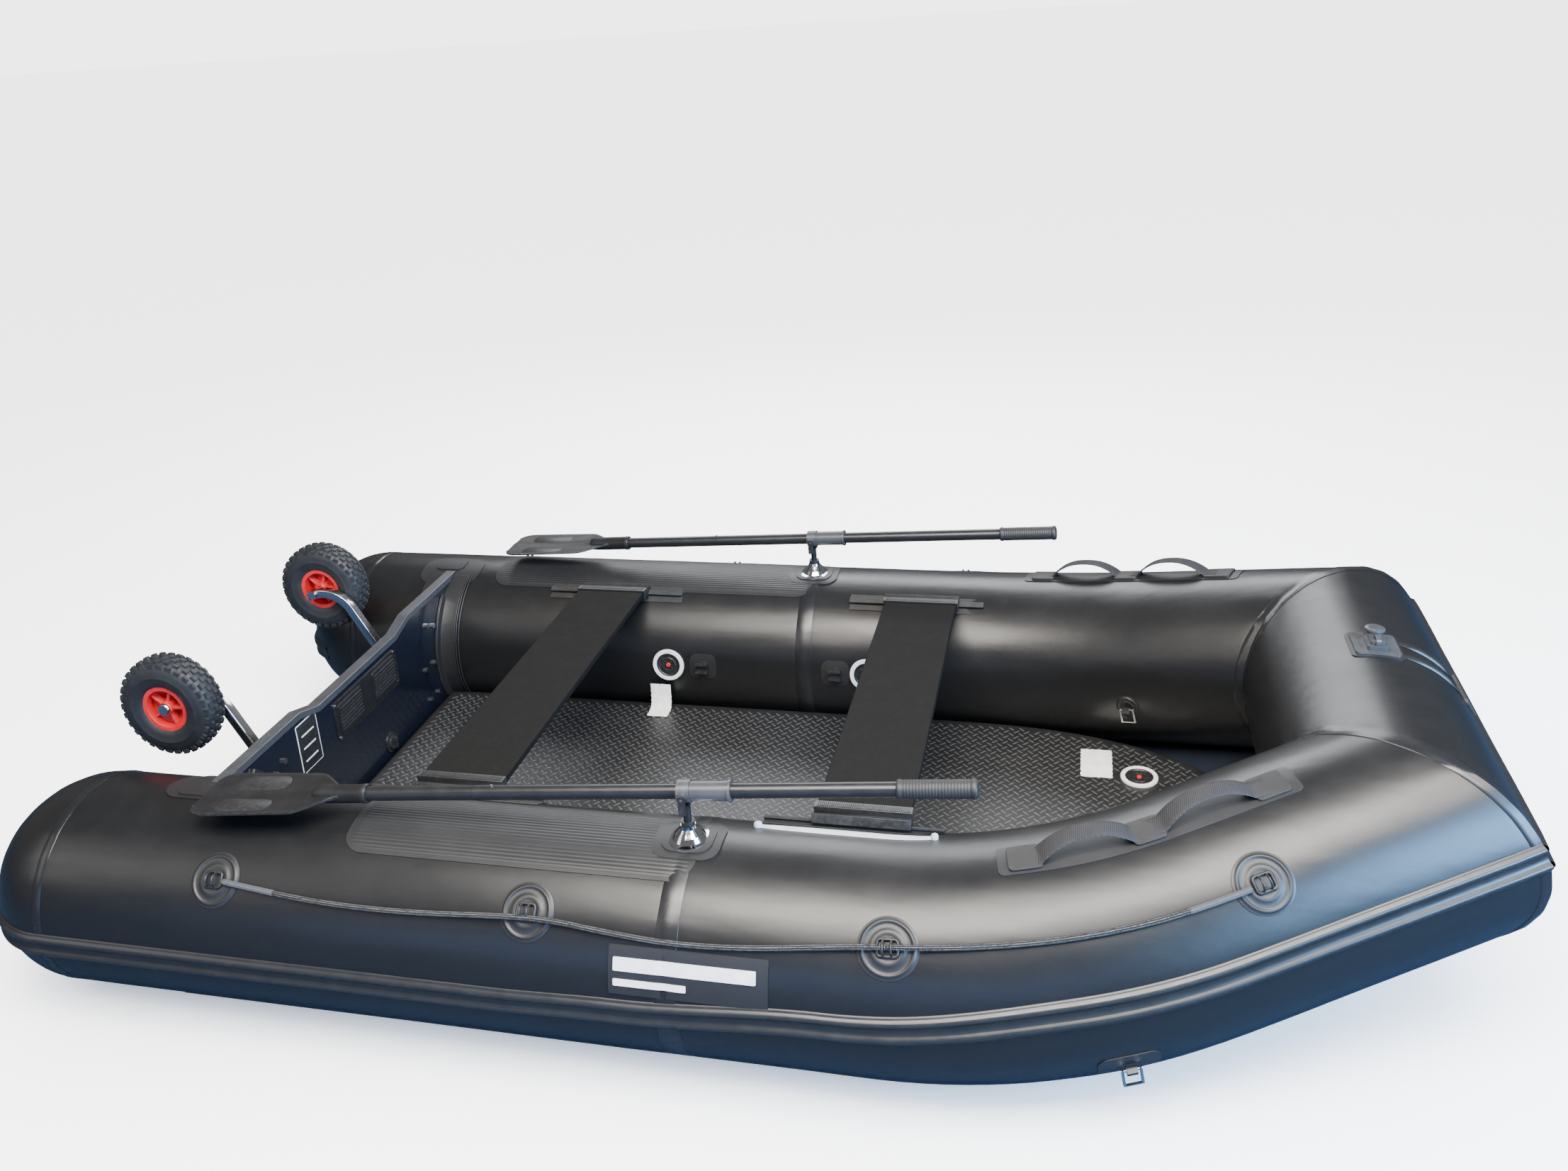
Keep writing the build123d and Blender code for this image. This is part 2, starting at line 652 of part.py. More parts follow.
for side in side_names:
    with BuildPart() as wheel_arm:
        with BuildLine() as arm_path:
            FilletPolyline(*arm_points, radius=[150, arm_bend_radius])
        arm_start = Plane(arm_path.line @ 0, x_dir=(0, 1, 0), z_dir=arm_path.line % 0)
        with BuildSketch(arm_start):
            Rectangle(arm_size, arm_size)
            Rectangle(arm_size - 2 * arm_wall, arm_size - 2 * arm_wall, mode=Mode.SUBTRACT)
        sweep(path=arm_path.line)
        with BuildSketch(Plane(origin=(pivot_x, arm_y, pivot_height), x_dir=(1, 0, 0), z_dir=(0, 1, 0))):
            Circle(pivot_radius + 2)
        extrude(amount=arm_size / 2, both=True)
        with BuildSketch(Plane(origin=(pivot_x, arm_y, pivot_height), x_dir=(1, 0, 0), z_dir=(0, 1, 0))):
            Circle(pivot_radius + running_gap)
        extrude(amount=arm_size, both=True, mode=Mode.SUBTRACT)
        with BuildSketch(Plane(origin=(wheel_x, arm_y, wheel_height), x_dir=(1, 0, 0), z_dir=(0, 1, 0))):
            Circle(axle_radius)
        extrude(amount=arm_size, both=True, mode=Mode.SUBTRACT)
        if side == "starboard":
            mirror(about=Plane.XZ, mode=Mode.REPLACE)
    wheel_arm.part.label = f"{side}_wheel_arm"
    export_step(wheel_arm.part, f"parts/{side}_wheel_arm.step")

    hub_end = wheel_y + hub_length / 2
    with BuildPart() as wheel_axle:
        with BuildSketch(Plane(origin=(wheel_x, 0, wheel_height), x_dir=(1, 0, 0), z_dir=(0, 0, 1))):
            with BuildLine():
                Polyline(
                    (0, arm_y - arm_size / 2 - 8), (axle_radius + 4, arm_y - arm_size / 2 - 8),
                    (axle_radius + 4, arm_y - arm_size / 2), (axle_radius, arm_y - arm_size / 2),
                    (axle_radius, hub_end + side_gap), (axle_radius + 5, hub_end + side_gap),
                    (axle_radius + 5, hub_end + 7), (0, hub_end + 7), close=True,
                )
            make_face()
        revolve(axis=Axis((wheel_x, 0, wheel_height), (0, 1, 0)))
        if side == "starboard":
            mirror(about=Plane.XZ, mode=Mode.REPLACE)
    wheel_axle.part.label = f"{side}_wheel_axle"
    export_step(wheel_axle.part, f"parts/{side}_wheel_axle.step")

    rim_half = wheel_width / 2 - 8
    with BuildPart() as wheel_rim:
        with BuildSketch(Plane(origin=(wheel_x, wheel_y, wheel_height), x_dir=(1, 0, 0), z_dir=(0, 0, 1))):
            with BuildLine():
                Polyline(
                    (axle_radius + running_gap, -hub_length / 2), (18, -hub_length / 2), (18, -4),
                    (rim_radius - 6, -4), (rim_radius - 6, -rim_half), (rim_radius + 5, -rim_half),
                    (rim_radius + 5, -rim_half + 3), (rim_radius, -rim_half + 3),
                    (rim_radius, rim_half - 3),
                    (rim_radius + 5, rim_half - 3), (rim_radius + 5, rim_half), (rim_radius - 6, rim_half),
                    (rim_radius - 6, 4), (18, 4), (18, hub_length / 2),
                    (axle_radius + running_gap, hub_length / 2),
                    close=True,
                )
            make_face()
        revolve(axis=Axis((wheel_x, 0, wheel_height), (0, 1, 0)))
        if side == "starboard":
            mirror(about=Plane.XZ, mode=Mode.REPLACE)
    wheel_rim.part.label = f"{side}_wheel_rim"
    export_step(wheel_rim.part, f"parts/{side}_wheel_rim.step")

    with BuildPart() as wheel_tyre:
        with BuildSketch(Plane(origin=(wheel_x, wheel_y, wheel_height), x_dir=(1, 0, 0), z_dir=(0, 0, 1))):
            with Locations(((rim_radius + wheel_diameter / 2) / 2, 0)):
                RectangleRounded(wheel_diameter / 2 - rim_radius, wheel_width, 26)
            with Locations((rim_radius + 10, 0)):
                Rectangle(20, 2 * rim_half - 6.4)
            with Locations((rim_radius + 2.4, 0)):
                Rectangle(5.2, wheel_width, mode=Mode.SUBTRACT)
            with Locations((rim_radius + 10, 0)):
                Rectangle(20, 2 * rim_half - 6.4)
            with Locations(((rim_radius + wheel_diameter / 2) / 2, 0)):
                RectangleRounded(
                    wheel_diameter / 2 - rim_radius - 2 * tyre_wall, wheel_width - 18, 16, mode=Mode.SUBTRACT
                )
        revolve(axis=Axis((wheel_x, 0, wheel_height), (0, 1, 0)))
        if side == "starboard":
            mirror(about=Plane.XZ, mode=Mode.REPLACE)
    wheel_tyre.part.label = f"{side}_wheel_tyre"
    export_step(wheel_tyre.part, f"parts/{side}_wheel_tyre.step")

# ---- seats --------------------------------------------------------------------------------------

seat_stations = {"aft": aft_seat_station, "fore": fore_seat_station}
envelope = tube_body(tube_r)
tube_skin = tube_body(tube_r + patch_thickness) - envelope
head_bottom = tube_r + bead_bottom
block_bottom = tube_r + 7
block_top = head_bottom + bead_height + 12
cap_half_width = bead_width / 2 + 9
cap_length = seat_width + 2 * cap_margin
rail_turn = Rot(0, 0, rail_angle)
rail_profile = rail_turn * (
    Pos((tube_r + head_bottom) / 2 - 6, 0) * Rectangle(head_bottom - tube_r + 12, stem_width)
    + Pos(head_bottom + bead_height / 2, 0) * Rectangle(bead_height, bead_width)
    + Pos(tube_r - 3, 0) * Rectangle(10, rail_width)
)
block_profile = rail_turn * (
    Pos((block_bottom + block_top) / 2, 0) * Rectangle(block_top - block_bottom, 2 * cap_half_width)
)
slot_profile = rail_turn * (
    Pos(head_bottom - 5, 0) * Rectangle(12, stem_width + 2 * side_gap)
    + Pos(head_bottom + bead_height / 2, 0)
    * Rectangle(bead_height + 2 * side_gap, bead_width + 2 * side_gap)
)
board_depth = 16            # how far the board's end goes into its cap
cap_wall = 4
cap_inner_y = seat_half_length - board_depth
cap_end_y = seat_half_length + 6

with BuildPart() as seat_rails:
    for station in seat_stations.values():
        with BuildSketch(side_section(rowlock_x + station - rail_length / 2)):
            add(rail_profile)
        extrude(amount=rail_length if station < 0 else rail_length - 34)
    add(envelope, mode=Mode.SUBTRACT)
    mirror(about=Plane.XZ)
seat_rails.part.label = "seat_rails"
export_step(seat_rails.part, "parts/seat_rails.step")

for name, station in seat_stations.items():
    seat_x = rowlock_x + station
    with BuildPart() as seat_board:
        with BuildSketch(Plane.XY.offset(seat_top - seat_thickness)):
            with Locations((seat_x, 0)):
                Rectangle(seat_width, 2 * seat_half_length)
        extrude(amount=seat_thickness)
    seat_board.part.label = f"{name}_seat_board"
    export_step(seat_board.part, f"parts/{name}_seat_board.step")

    socket_middle = seat_top - seat_thickness / 2
    with BuildPart() as seat_caps:
        with BuildSketch(side_section(seat_x - cap_length / 2)):
            add(block_profile)
            with Locations(((cap_inner_y + cap_end_y) / 2 - half_spacing, socket_middle - tube_z)):
                Rectangle(cap_end_y - cap_inner_y, seat_thickness + 2 * cap_wall)
            add(slot_profile, mode=Mode.SUBTRACT)
        extrude(amount=cap_length)
        with Locations((seat_x, 0, socket_middle)):
            Box(seat_width, 2 * seat_half_length, seat_thickness, mode=Mode.SUBTRACT)
        mirror(about=Plane.XZ)
    seat_caps.part.label = f"{name}_seat_caps"
    export_step(seat_caps.part, f"parts/{name}_seat_caps.step")

# ---- rowlocks and oars --------------------------------------------------------------------------

tube_top = tube_z + tube_r
oar_z = tube_top + oar_height
base_flange = 4
rowlock_point = (rowlock_x, half_spacing, tube_top)
swivel_top = oar_z - collar_radius - 3
fork_width = 14

with BuildPart() as rowlock_bases:
    with BuildSketch(Plane(origin=rowlock_point, x_dir=(1, 0, 0), z_dir=(0, -1, 0))):
        with BuildLine():
            Polyline(
                (rowlock_pin_radius + running_gap, -6), (cone_radius + 8, -6),
                (cone_radius + 8, base_flange),
                (cone_radius, base_flange + 2), (cone_radius - 6, cone_height * 0.45),
                (rowlock_pin_radius + 9, cone_height * 0.8), (rowlock_pin_radius + 7, cone_height),
                (rowlock_pin_radius + running_gap, cone_height), close=True,
            )
        make_face()
    revolve(axis=Axis(rowlock_point, (0, 0, 1)))
    add(envelope, mode=Mode.SUBTRACT)
    add(tube_skin, mode=Mode.SUBTRACT)
    mirror(about=Plane.XZ)
rowlock_bases.part.label = "rowlock_bases"
export_step(rowlock_bases.part, "parts/rowlock_bases.step")


def oar_plane(side):
    """Local z runs along the oar to its grip, local x is the oar's own sideways direction."""
    yaw = radians(-oar_yaw if side == "port" else oar_yaw)
    rise = radians(oar_slope)
    along = Vector(cos(rise) * cos(yaw), cos(rise) * sin(yaw), sin(rise))
    sign = 1 if side == "port" else -1
    sideways = Vector(-sin(yaw), cos(yaw), 0)
    return Plane(origin=(rowlock_x, sign * half_spacing, oar_z), x_dir=sideways, z_dir=along)


joint_reach = -330          # rowlock to the joint of the shaft's two halves
spigot_length = 90
blade_overlap = 60

for side in side_names:
    sign = 1 if side == "port" else -1
    oar = oar_plane(side)
    pivot_line = Plane(origin=oar.origin, x_dir=oar.z_dir, z_dir=oar.x_dir)
    lock_plane = Plane(origin=(rowlock_x, sign * half_spacing, 0), x_dir=(1, 0, 0), z_dir=(0, 0, 1))
    swivel_point = (rowlock_x, sign * half_spacing, swivel_top)
    swivel_plane = Plane(origin=swivel_point, x_dir=oar.x_dir, z_dir=(0, 0, 1))

    with BuildPart() as rowlock_pin:
        with BuildSketch(lock_plane.offset(tube_top + 2)):
            Circle(rowlock_pin_radius)
        extrude(amount=swivel_top - tube_top - 2)
        with BuildSketch(lock_plane.offset(tube_top + cone_height + side_gap)):
            Circle(rowlock_pin_radius + 6)
        extrude(amount=8)
        with BuildSketch(swivel_plane):
            Rectangle(2 * (collar_radius + 10), fork_width)
        extrude(amount=-9)
        for fork_side in (1, -1):
            arm_middle = fork_side * (collar_radius + 7.5)
            with BuildSketch(swivel_plane):
                with Locations((arm_middle, 0)):
                    Rectangle(5, fork_width)
            extrude(amount=collar_radius + 3 + fork_width / 2)
        with BuildSketch(pivot_line):
            Circle(3.05)
        extrude(amount=collar_radius + 12, both=True, mode=Mode.SUBTRACT)
    rowlock_pin.part.label = f"{side}_rowlock_pin"
    export_step(rowlock_pin.part, f"parts/{side}_rowlock_pin.step")

    with BuildPart() as oar_collar:
        with BuildSketch(oar.offset(-collar_length / 2)):
            Circle(collar_radius)
            Circle(shaft_radius, mode=Mode.SUBTRACT)
        extrude(amount=collar_length)
        with BuildSketch(oar.offset(collar_length / 2)):
            Circle(sleeve_radius)
            Circle(shaft_radius, mode=Mode.SUBTRACT)
        extrude(amount=sleeve_length - collar_length / 2)
        with BuildSketch(oar.offset(sleeve_length - 5)):
            Circle(sleeve_radius + 2.5)
            Circle(shaft_radius, mode=Mode.SUBTRACT)
        extrude(amount=5)
        for pin_side in (1, -1):
            with BuildSketch(pivot_line.offset(pin_side * (shaft_radius + 2))):
                Circle(3)
            extrude(amount=pin_side * (collar_radius + 11 - shaft_radius - 2))
            with BuildSketch(pivot_line.offset(pin_side * (collar_radius - 1))):
                Circle(7)
            extrude(amount=pin_side * 5)
    oar_collar.part.label = f"{side}_oar_collar"
    export_step(oar_collar.part, f"parts/{side}_oar_collar.step")

    grip_end = grip_reach[side]
    tip = grip_end - oar_length
    shift = grip_end - grip_reach["port"]
    joint_at = joint_reach + shift
    button_plane = Plane(oar.origin + oar.z_dir * (joint_at + 40), oar.z_dir, oar.z_dir.cross(oar.x_dir))
    bore_radius = shaft_radius - shaft_wall
    with BuildPart() as oar_shaft:
        with BuildSketch(oar.offset(joint_at)):
            Circle(shaft_radius)
            Circle(bore_radius, mode=Mode.SUBTRACT)
        extrude(amount=grip_end - joint_at - 6)
        with BuildSketch(oar.offset(tip + blade_length - blade_overlap)):
            Circle(shaft_radius)
            Circle(bore_radius, mode=Mode.SUBTRACT)
        extrude(amount=joint_at - seam_gap - tip - blade_length + blade_overlap)
        with BuildSketch(oar.offset(joint_at - seam_gap - 20)):
            Circle(bore_radius)
            Circle(bore_radius - running_gap - shaft_wall, mode=Mode.SUBTRACT)
        extrude(amount=20)
        with BuildSketch(oar.offset(joint_at - seam_gap)):
            Circle(bore_radius - running_gap)
            Circle(bore_radius - running_gap - shaft_wall, mode=Mode.SUBTRACT)
        extrude(amount=spigot_length)
        with BuildSketch(button_plane):
            Circle(button_radius + running_gap)
        extrude(amount=shaft_radius + 5, mode=Mode.SUBTRACT)
    oar_shaft.part.label = f"{side}_oar_shaft"
    export_step(oar_shaft.part, f"parts/{side}_oar_shaft.step")

    with BuildPart() as oar_button:
        with BuildSketch(button_plane.offset(5)):
            Circle(button_radius)
        extrude(amount=shaft_radius + 2.5 - 5)
    oar_button.part.label = f"{side}_oar_button"
    export_step(oar_button.part, f"parts/{side}_oar_button.step")

    with BuildPart() as oar_grip:
        with BuildSketch(oar.offset(grip_end - grip_length)):
            Circle(grip_radius)
        extrude(amount=grip_length)
        fillet(oar_grip.edges().filter_by(GeomType.CIRCLE), 4)
        with BuildSketch(oar.offset(grip_end - grip_length)):
            Circle(shaft_radius)
        extrude(amount=grip_length - 6, mode=Mode.SUBTRACT)
    oar_grip.part.label = f"{side}_oar_grip"
    export_step(oar_grip.part, f"parts/{side}_oar_grip.step")

    blade_plane = Plane(oar.origin + oar.z_dir * tip, x_dir=oar.z_dir, z_dir=oar.z_dir.cross(oar.x_dir))
    half_blade = blade_width / 2
    with BuildPart() as oar_blade:
        with BuildSketch(blade_plane.offset(-blade_thickness / 2)):
            with BuildLine():
                tip_arc = ThreePointArc((14, -half_blade * 0.62), (0, 0), (14, half_blade * 0.62))
                tip_edge = TangentArc(tip_arc @ 1, (58, half_blade), tangent=tip_arc % 1)
                Line(tip_edge @ 1, (blade_length * 0.62, half_blade * 0.94))
                Line((blade_length * 0.62, half_blade * 0.94), (blade_length * 0.84, shaft_radius + 4))
                Line((blade_length * 0.84, shaft_radius + 4), (blade_length, shaft_radius + 4))
                Line((blade_length, shaft_radius + 4), (blade_length, 0))
                Line((blade_length, 0), (blade_length, -shaft_radius - 4))
                Line((blade_length, -shaft_radius - 4), (blade_length * 0.84, -shaft_radius - 4))
                Line((blade_length * 0.84, -shaft_radius - 4), (blade_length * 0.62, -half_blade * 0.94))
                low_edge = Line((blade_length * 0.62, -half_blade * 0.94), (58, -half_blade))
                TangentArc(tip_arc @ 0, low_edge @ 1, tangent=-(tip_arc % 0))
            make_face()
        extrude(amount=blade_thickness)
        with BuildSketch(oar.offset(tip + blade_length - 2 * blade_overlap)):
            Circle(shaft_radius + 4)
        extrude(amount=2 * blade_overlap)
        with BuildSketch(oar.offset(tip + blade_length - blade_overlap)):
            Circle(shaft_radius)
        extrude(amount=blade_overlap + 1, mode=Mode.SUBTRACT)
    oar_blade.part.label = f"{side}_oar_blade"
    export_step(oar_blade.part, f"parts/{side}_oar_blade.step")

# ---- patches glued to the tubes -----------------------------------------------------------------

lifeline_stations = (-974, -284, 415, 1072)
clip_stations = (-290, 91)
handle_stations = (676, 926, 1176)
handle_angle_round = 84
inner_ring_station = 960
inner_ring_angle = 188
tow_station = 783
tow_angle = -30

patches = []
for station in lifeline_stations:
    patches.append((station, lifeline_angle, Circle(lifeline_patch_radius)))
for station in clip_stations:
    patches.append((station, valve_angle, RectangleRounded(78, 72, 22)))
for station in handle_stations:
    patches.append((station, handle_angle_round, RectangleRounded(100, 70, 12)))
patches.append((0, 90, RectangleRounded(140, 118, 34)))
patches.append((-385, 87, RectangleRounded(640, 184, 50)))
patches.append((45, 20, RectangleRounded(310, 92, 4)))
patches.append((inner_ring_station, inner_ring_angle, Circle(34)))
patches.append((tow_station, tow_angle, RectangleRounded(100, 70, 20)))

with BuildPart() as tube_patches:
    for station, angle, outline in patches:
        with BuildSketch(skin_plane(section_at(station), angle)):
            add(outline)
        extrude(amount=40, both=True)
    add(tube_skin, mode=Mode.INTERSECT)
    mirror(about=Plane.XZ)
tube_patches.part.label = "tube_patches"
export_step(tube_patches.part, "parts/tube_patches.step")

# ---- lifelines ----------------------------------------------------------------------------------

ring_length = 42
ring_width = 34
ring_bar = 6
ring_height = 7

with BuildPart() as lifeline_rings:
    for station in lifeline_stations:
        ring_plane = skin_plane(section_at(station), lifeline_angle, patch_thickness)
        with BuildSketch(ring_plane.offset(-3)):
            Circle(lifeline_patch_radius * 0.55)
            Circle(lifeline_patch_radius * 0.4, mode=Mode.SUBTRACT)
        extrude(amount=5)
        with BuildSketch(ring_plane.offset(1)):
            RectangleRounded(ring_length, ring_width, 8)
            RectangleRounded(ring_length - 2 * ring_bar, ring_width - 2 * ring_bar, 3, mode=Mode.SUBTRACT)
        extrude(amount=ring_height)
    add(tube_skin, mode=Mode.SUBTRACT)
    add(envelope, mode=Mode.SUBTRACT)
    mirror(about=Plane.XZ)
lifeline_rings.part.label = "lifeline_rings"
export_step(lifeline_rings.part, "parts/lifeline_rings.step")

# The lifeline's route: distance from the rowlocks, angle round the tube, height above the fabric.
lifeline_route = [
    (-949, 41.5, 10), (-850, 39, 8), (-720, 36.5, 8), (-590, 36, 8), (-465, 37, 9), (-340, 39, 16),
    (-230, 39.5, 16), (-115, 36.5, 8), (10, 34.5, 8), (135, 35.5, 8), (255, 38.5, 9), (365, 41.5, 16),
    (465, 42.5, 16), (575, 42.8, 8), (690, 42.4, 8), (810, 41.8, 8), (930, 41.2, 8), (1046, 41.5, 10),
]
lifeline_points = []
for station, angle, height in lifeline_route:
    lifeline_points.append(skin_plane(section_at(station), angle, height).origin)
lifeline_radii = []
for before, here, after in zip(lifeline_points, lifeline_points[1:], lifeline_points[2:]):
    arriving = here - before
    leaving = after - here
    shorter_run = min(arriving.length, leaving.length)
    half_turn = radians(arriving.get_angle(leaving)) / 2
    lifeline_radii.append(0.45 * shorter_run / tan(half_turn))
print("lifeline radii", [round(radius) for radius in lifeline_radii])

for side in side_names:
    with BuildPart() as lifeline:
        with BuildLine() as lifeline_path:
            FilletPolyline(*lifeline_points, radius=lifeline_radii)
        with BuildSketch(Plane(lifeline_path.line @ 0, z_dir=lifeline_path.line % 0)):
            Circle(lifeline_radius)
        sweep(path=lifeline_path.line)
        if side == "starboard":
            mirror(about=Plane.XZ, mode=Mode.REPLACE)
    lifeline.part.label = f"{side}_lifeline"
    export_step(lifeline.part, f"parts/{side}_lifeline.step")
line_length = sum(edge.length for edge in lifeline_path.line.edges())
line_volume = line_length * pi * lifeline_radius ** 2
print("lifeline length", round(line_length), "volume ratio", lifeline.part.volume / line_volume)

# ---- carry handles ------------------------------------------------------------------------------

strap_width = 46
strap_thickness = 4
loop_half = 92
loop_rise = 40
foot_end = loop_half + 30    # end of a strap's sewn foot

with BuildPart() as carry_handles:
    for first, second in zip(handle_stations, handle_stations[1:]):
        middle = skin_plane(section_at((first + second) / 2), handle_angle_round, patch_thickness)
        strap_plane = Plane(middle.origin, x_dir=middle.x_dir, z_dir=-middle.y_dir)
        with BuildSketch(strap_plane):
            with BuildLine():
                foot = Polyline(
                    (-foot_end, -6), (-foot_end, strap_thickness - 2), (-loop_half, strap_thickness)
                )
                top = ThreePointArc(foot @ 1, (0, loop_rise), (loop_half, strap_thickness))
                other = Polyline(
                    top @ 1, (foot_end, strap_thickness - 2), (foot_end, -6), (foot_end - strap_thickness, -6)
                )
                under_foot = Line(other @ 1, (loop_half - 4, strap_thickness - 6))
                under = ThreePointArc(
                    under_foot @ 1, (0, loop_rise - strap_thickness), (-loop_half + 4, strap_thickness - 6)
                )
                Polyline(under @ 1, (strap_thickness - foot_end, -6), foot @ 0)
            make_face()
        extrude(amount=strap_width / 2, both=True)
    add(tube_skin, mode=Mode.SUBTRACT)
    add(envelope, mode=Mode.SUBTRACT)
    mirror(about=Plane.XZ)
carry_handles.part.label = "carry_handles"
export_step(carry_handles.part, "parts/carry_handles.step")

# ---- clips and swinging rings -------------------------------------------------------------------

with BuildPart() as oar_clips:
    for station in clip_stations:
        clip_plane = skin_plane(section_at(station), valve_angle, patch_thickness + 0.2)
        with BuildSketch(clip_plane.offset(-1)):
            Circle(16)
        extrude(amount=8)
        for hook_side in (1, -1):
            with BuildSketch(clip_plane.offset(6)):
                with Locations((0, hook_side * 11)):
                    Rectangle(34, 5)
            extrude(amount=16)
    add(tube_skin, mode=Mode.SUBTRACT)
    mirror(about=Plane.XZ)
oar_clips.part.label = "oar_clips"
export_step(oar_clips.part, "parts/oar_clips.step")

loop_wire = 2.5
ring_planes = {
    "lashing": skin_plane(section_at(inner_ring_station), inner_ring_angle, patch_thickness),
    "tow": skin_plane(section_at(tow_station), tow_angle, patch_thickness),
}
hinge_reach = 9

with BuildPart() as ring_saddles:
    for ring_plane in ring_planes.values():
        hinge_point = ring_plane.origin + ring_plane.z_dir * hinge_reach
        hinge_line = Plane(hinge_point, ring_plane.y_dir, ring_plane.x_dir)
        with BuildSketch(hinge_line.offset(-10)):
            Circle(loop_wire + 4)
            with Locations((0, 4)):
                Rectangle(2 * loop_wire + 8, 8)
            Circle(loop_wire + running_gap, mode=Mode.SUBTRACT)
        extrude(amount=20)
    add(tube_skin, mode=Mode.SUBTRACT)
    add(envelope, mode=Mode.SUBTRACT)
    mirror(about=Plane.XZ)
ring_saddles.part.label = "ring_saddles"
export_step(ring_saddles.part, "parts/ring_saddles.step")

frame_half = 19.5
frame_drop = 34
for side in side_names:
    for name, ring_plane in ring_planes.items():
        pin_centre = ring_plane.origin + ring_plane.z_dir * hinge_reach
        along_tube = ring_plane.x_dir
        hang = (Vector(0, 0, -1) + along_tube * along_tube.Z).normalized()
        hang_plane = Plane(pin_centre, x_dir=along_tube, z_dir=along_tube.cross(hang))
        with BuildPart() as swing_ring:
            with BuildSketch(Plane(pin_centre - along_tube * frame_half, z_dir=along_tube)):
                Circle(loop_wire)
            extrude(amount=2 * frame_half)
            with BuildSketch(hang_plane.offset(-loop_wire)):
                with Locations((0, (frame_drop - loop_wire) / 2)):
                    RectangleRounded(2 * frame_half, frame_drop + loop_wire, 2.4)
                with Locations((0, frame_drop / 2 - loop_wire - 5)):
                    Rectangle(2 * frame_half - 10, frame_drop + 10, mode=Mode.SUBTRACT)
            extrude(amount=2 * loop_wire)
            if side == "starboard":
                mirror(about=Plane.XZ, mode=Mode.REPLACE)
        swing_ring.part.label = f"{side}_{name}_ring"
        export_step(swing_ring.part, f"parts/{side}_{name}_ring.step")

# ---- bow fittings -------------------------------------------------------------------------------

bow_middle = Plane(origin=(bow_x, 0, corner.Z), x_dir=(1, 0, 0), z_dir=(0, 1, 0))
bow_body = extrude(bow_middle * Circle(tube_r), 400, both=True)


def bow_skin(elevation, height=0.0):
    """Plane on the bow tube's surface: local z outward, local x to port."""
    outward = Vector(cos(radians(elevation)), 0, sin(radians(elevation)))
    return Plane(Vector(bow_x, 0, corner.Z) + outward * (tube_r + height), (0, 1, 0), outward)


cleat_angle = 87
cleat_base = (96, 92)

with BuildPart() as bow_cleat:
    with BuildSketch(bow_skin(cleat_angle, -14)):
        RectangleRounded(*cleat_base, 10)
    extrude(amount=17)
    with BuildSketch(bow_skin(cleat_angle, 3)):
        RectangleRounded(70, 42, 6)
    extrude(amount=10)
    with BuildSketch(bow_skin(cleat_angle, 13)):
        RectangleRounded(58, 30, 6)
    extrude(amount=9)
    with BuildSketch(bow_skin(cleat_angle, 22)):
        with Locations((16, 0)):
            Circle(17)
    extrude(amount=9)
    cleat_top = bow_skin(cleat_angle, 22)
    with BuildSketch(Plane(cleat_top.origin, x_dir=(0, 1, 0), z_dir=cleat_top.y_dir)):
        with Locations((-16, 6)):
            RectangleRounded(34, 24, 8)
            RectangleRounded(24, 14, 5, mode=Mode.SUBTRACT)
    extrude(amount=5, both=True)
    add(bow_body, mode=Mode.SUBTRACT)
bow_cleat.part.label = "bow_cleat"
export_step(bow_cleat.part, "parts/bow_cleat.step")

handle_plane = bow_skin(handle_angle)
handle_length = 118
handle_depth = 60

with BuildPart() as bow_handle:
    with BuildSketch(handle_plane.offset(-10)):
        RectangleRounded(handle_length, handle_depth, 14)
    extrude(amount=16)
    with BuildSketch(Plane(handle_plane.origin, x_dir=(0, 1, 0), z_dir=handle_plane.y_dir)):
        with BuildLine():
            Polyline(
                (-48, 5), (-34, handle_height), (34, handle_height), (48, 5), (30, 5),
                (24, handle_height - 14), (-24, handle_height - 14), (-30, 5), (-48, 5),
            )
        make_face()
    extrude(amount=13, both=True)
    add(bow_body, mode=Mode.SUBTRACT)
bow_handle.part.label = "bow_handle"
export_step(bow_handle.part, "parts/bow_handle.step")

ridge_low = handle_angle + 9
ridge_high = cleat_angle - 15
ridge_band = ring_sector(tube_r, tube_r + 6, ridge_low, ridge_high)
with BuildPart() as bow_ridges:
    for ridge_y in (30, -30):
        with BuildSketch(Plane(origin=(bow_x, ridge_y + 8, corner.Z), x_dir=(1, 0, 0), z_dir=(0, -1, 0))):
            add(ridge_band)
        extrude(amount=16)
bow_ridges.part.label = "bow_ridges"
export_step(bow_ridges.part, "parts/bow_ridges.step")
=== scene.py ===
from math import cos, degrees, exp, pi, radians, sin, sqrt

import bmesh
import bpy
from mathutils import Matrix, Vector, noise


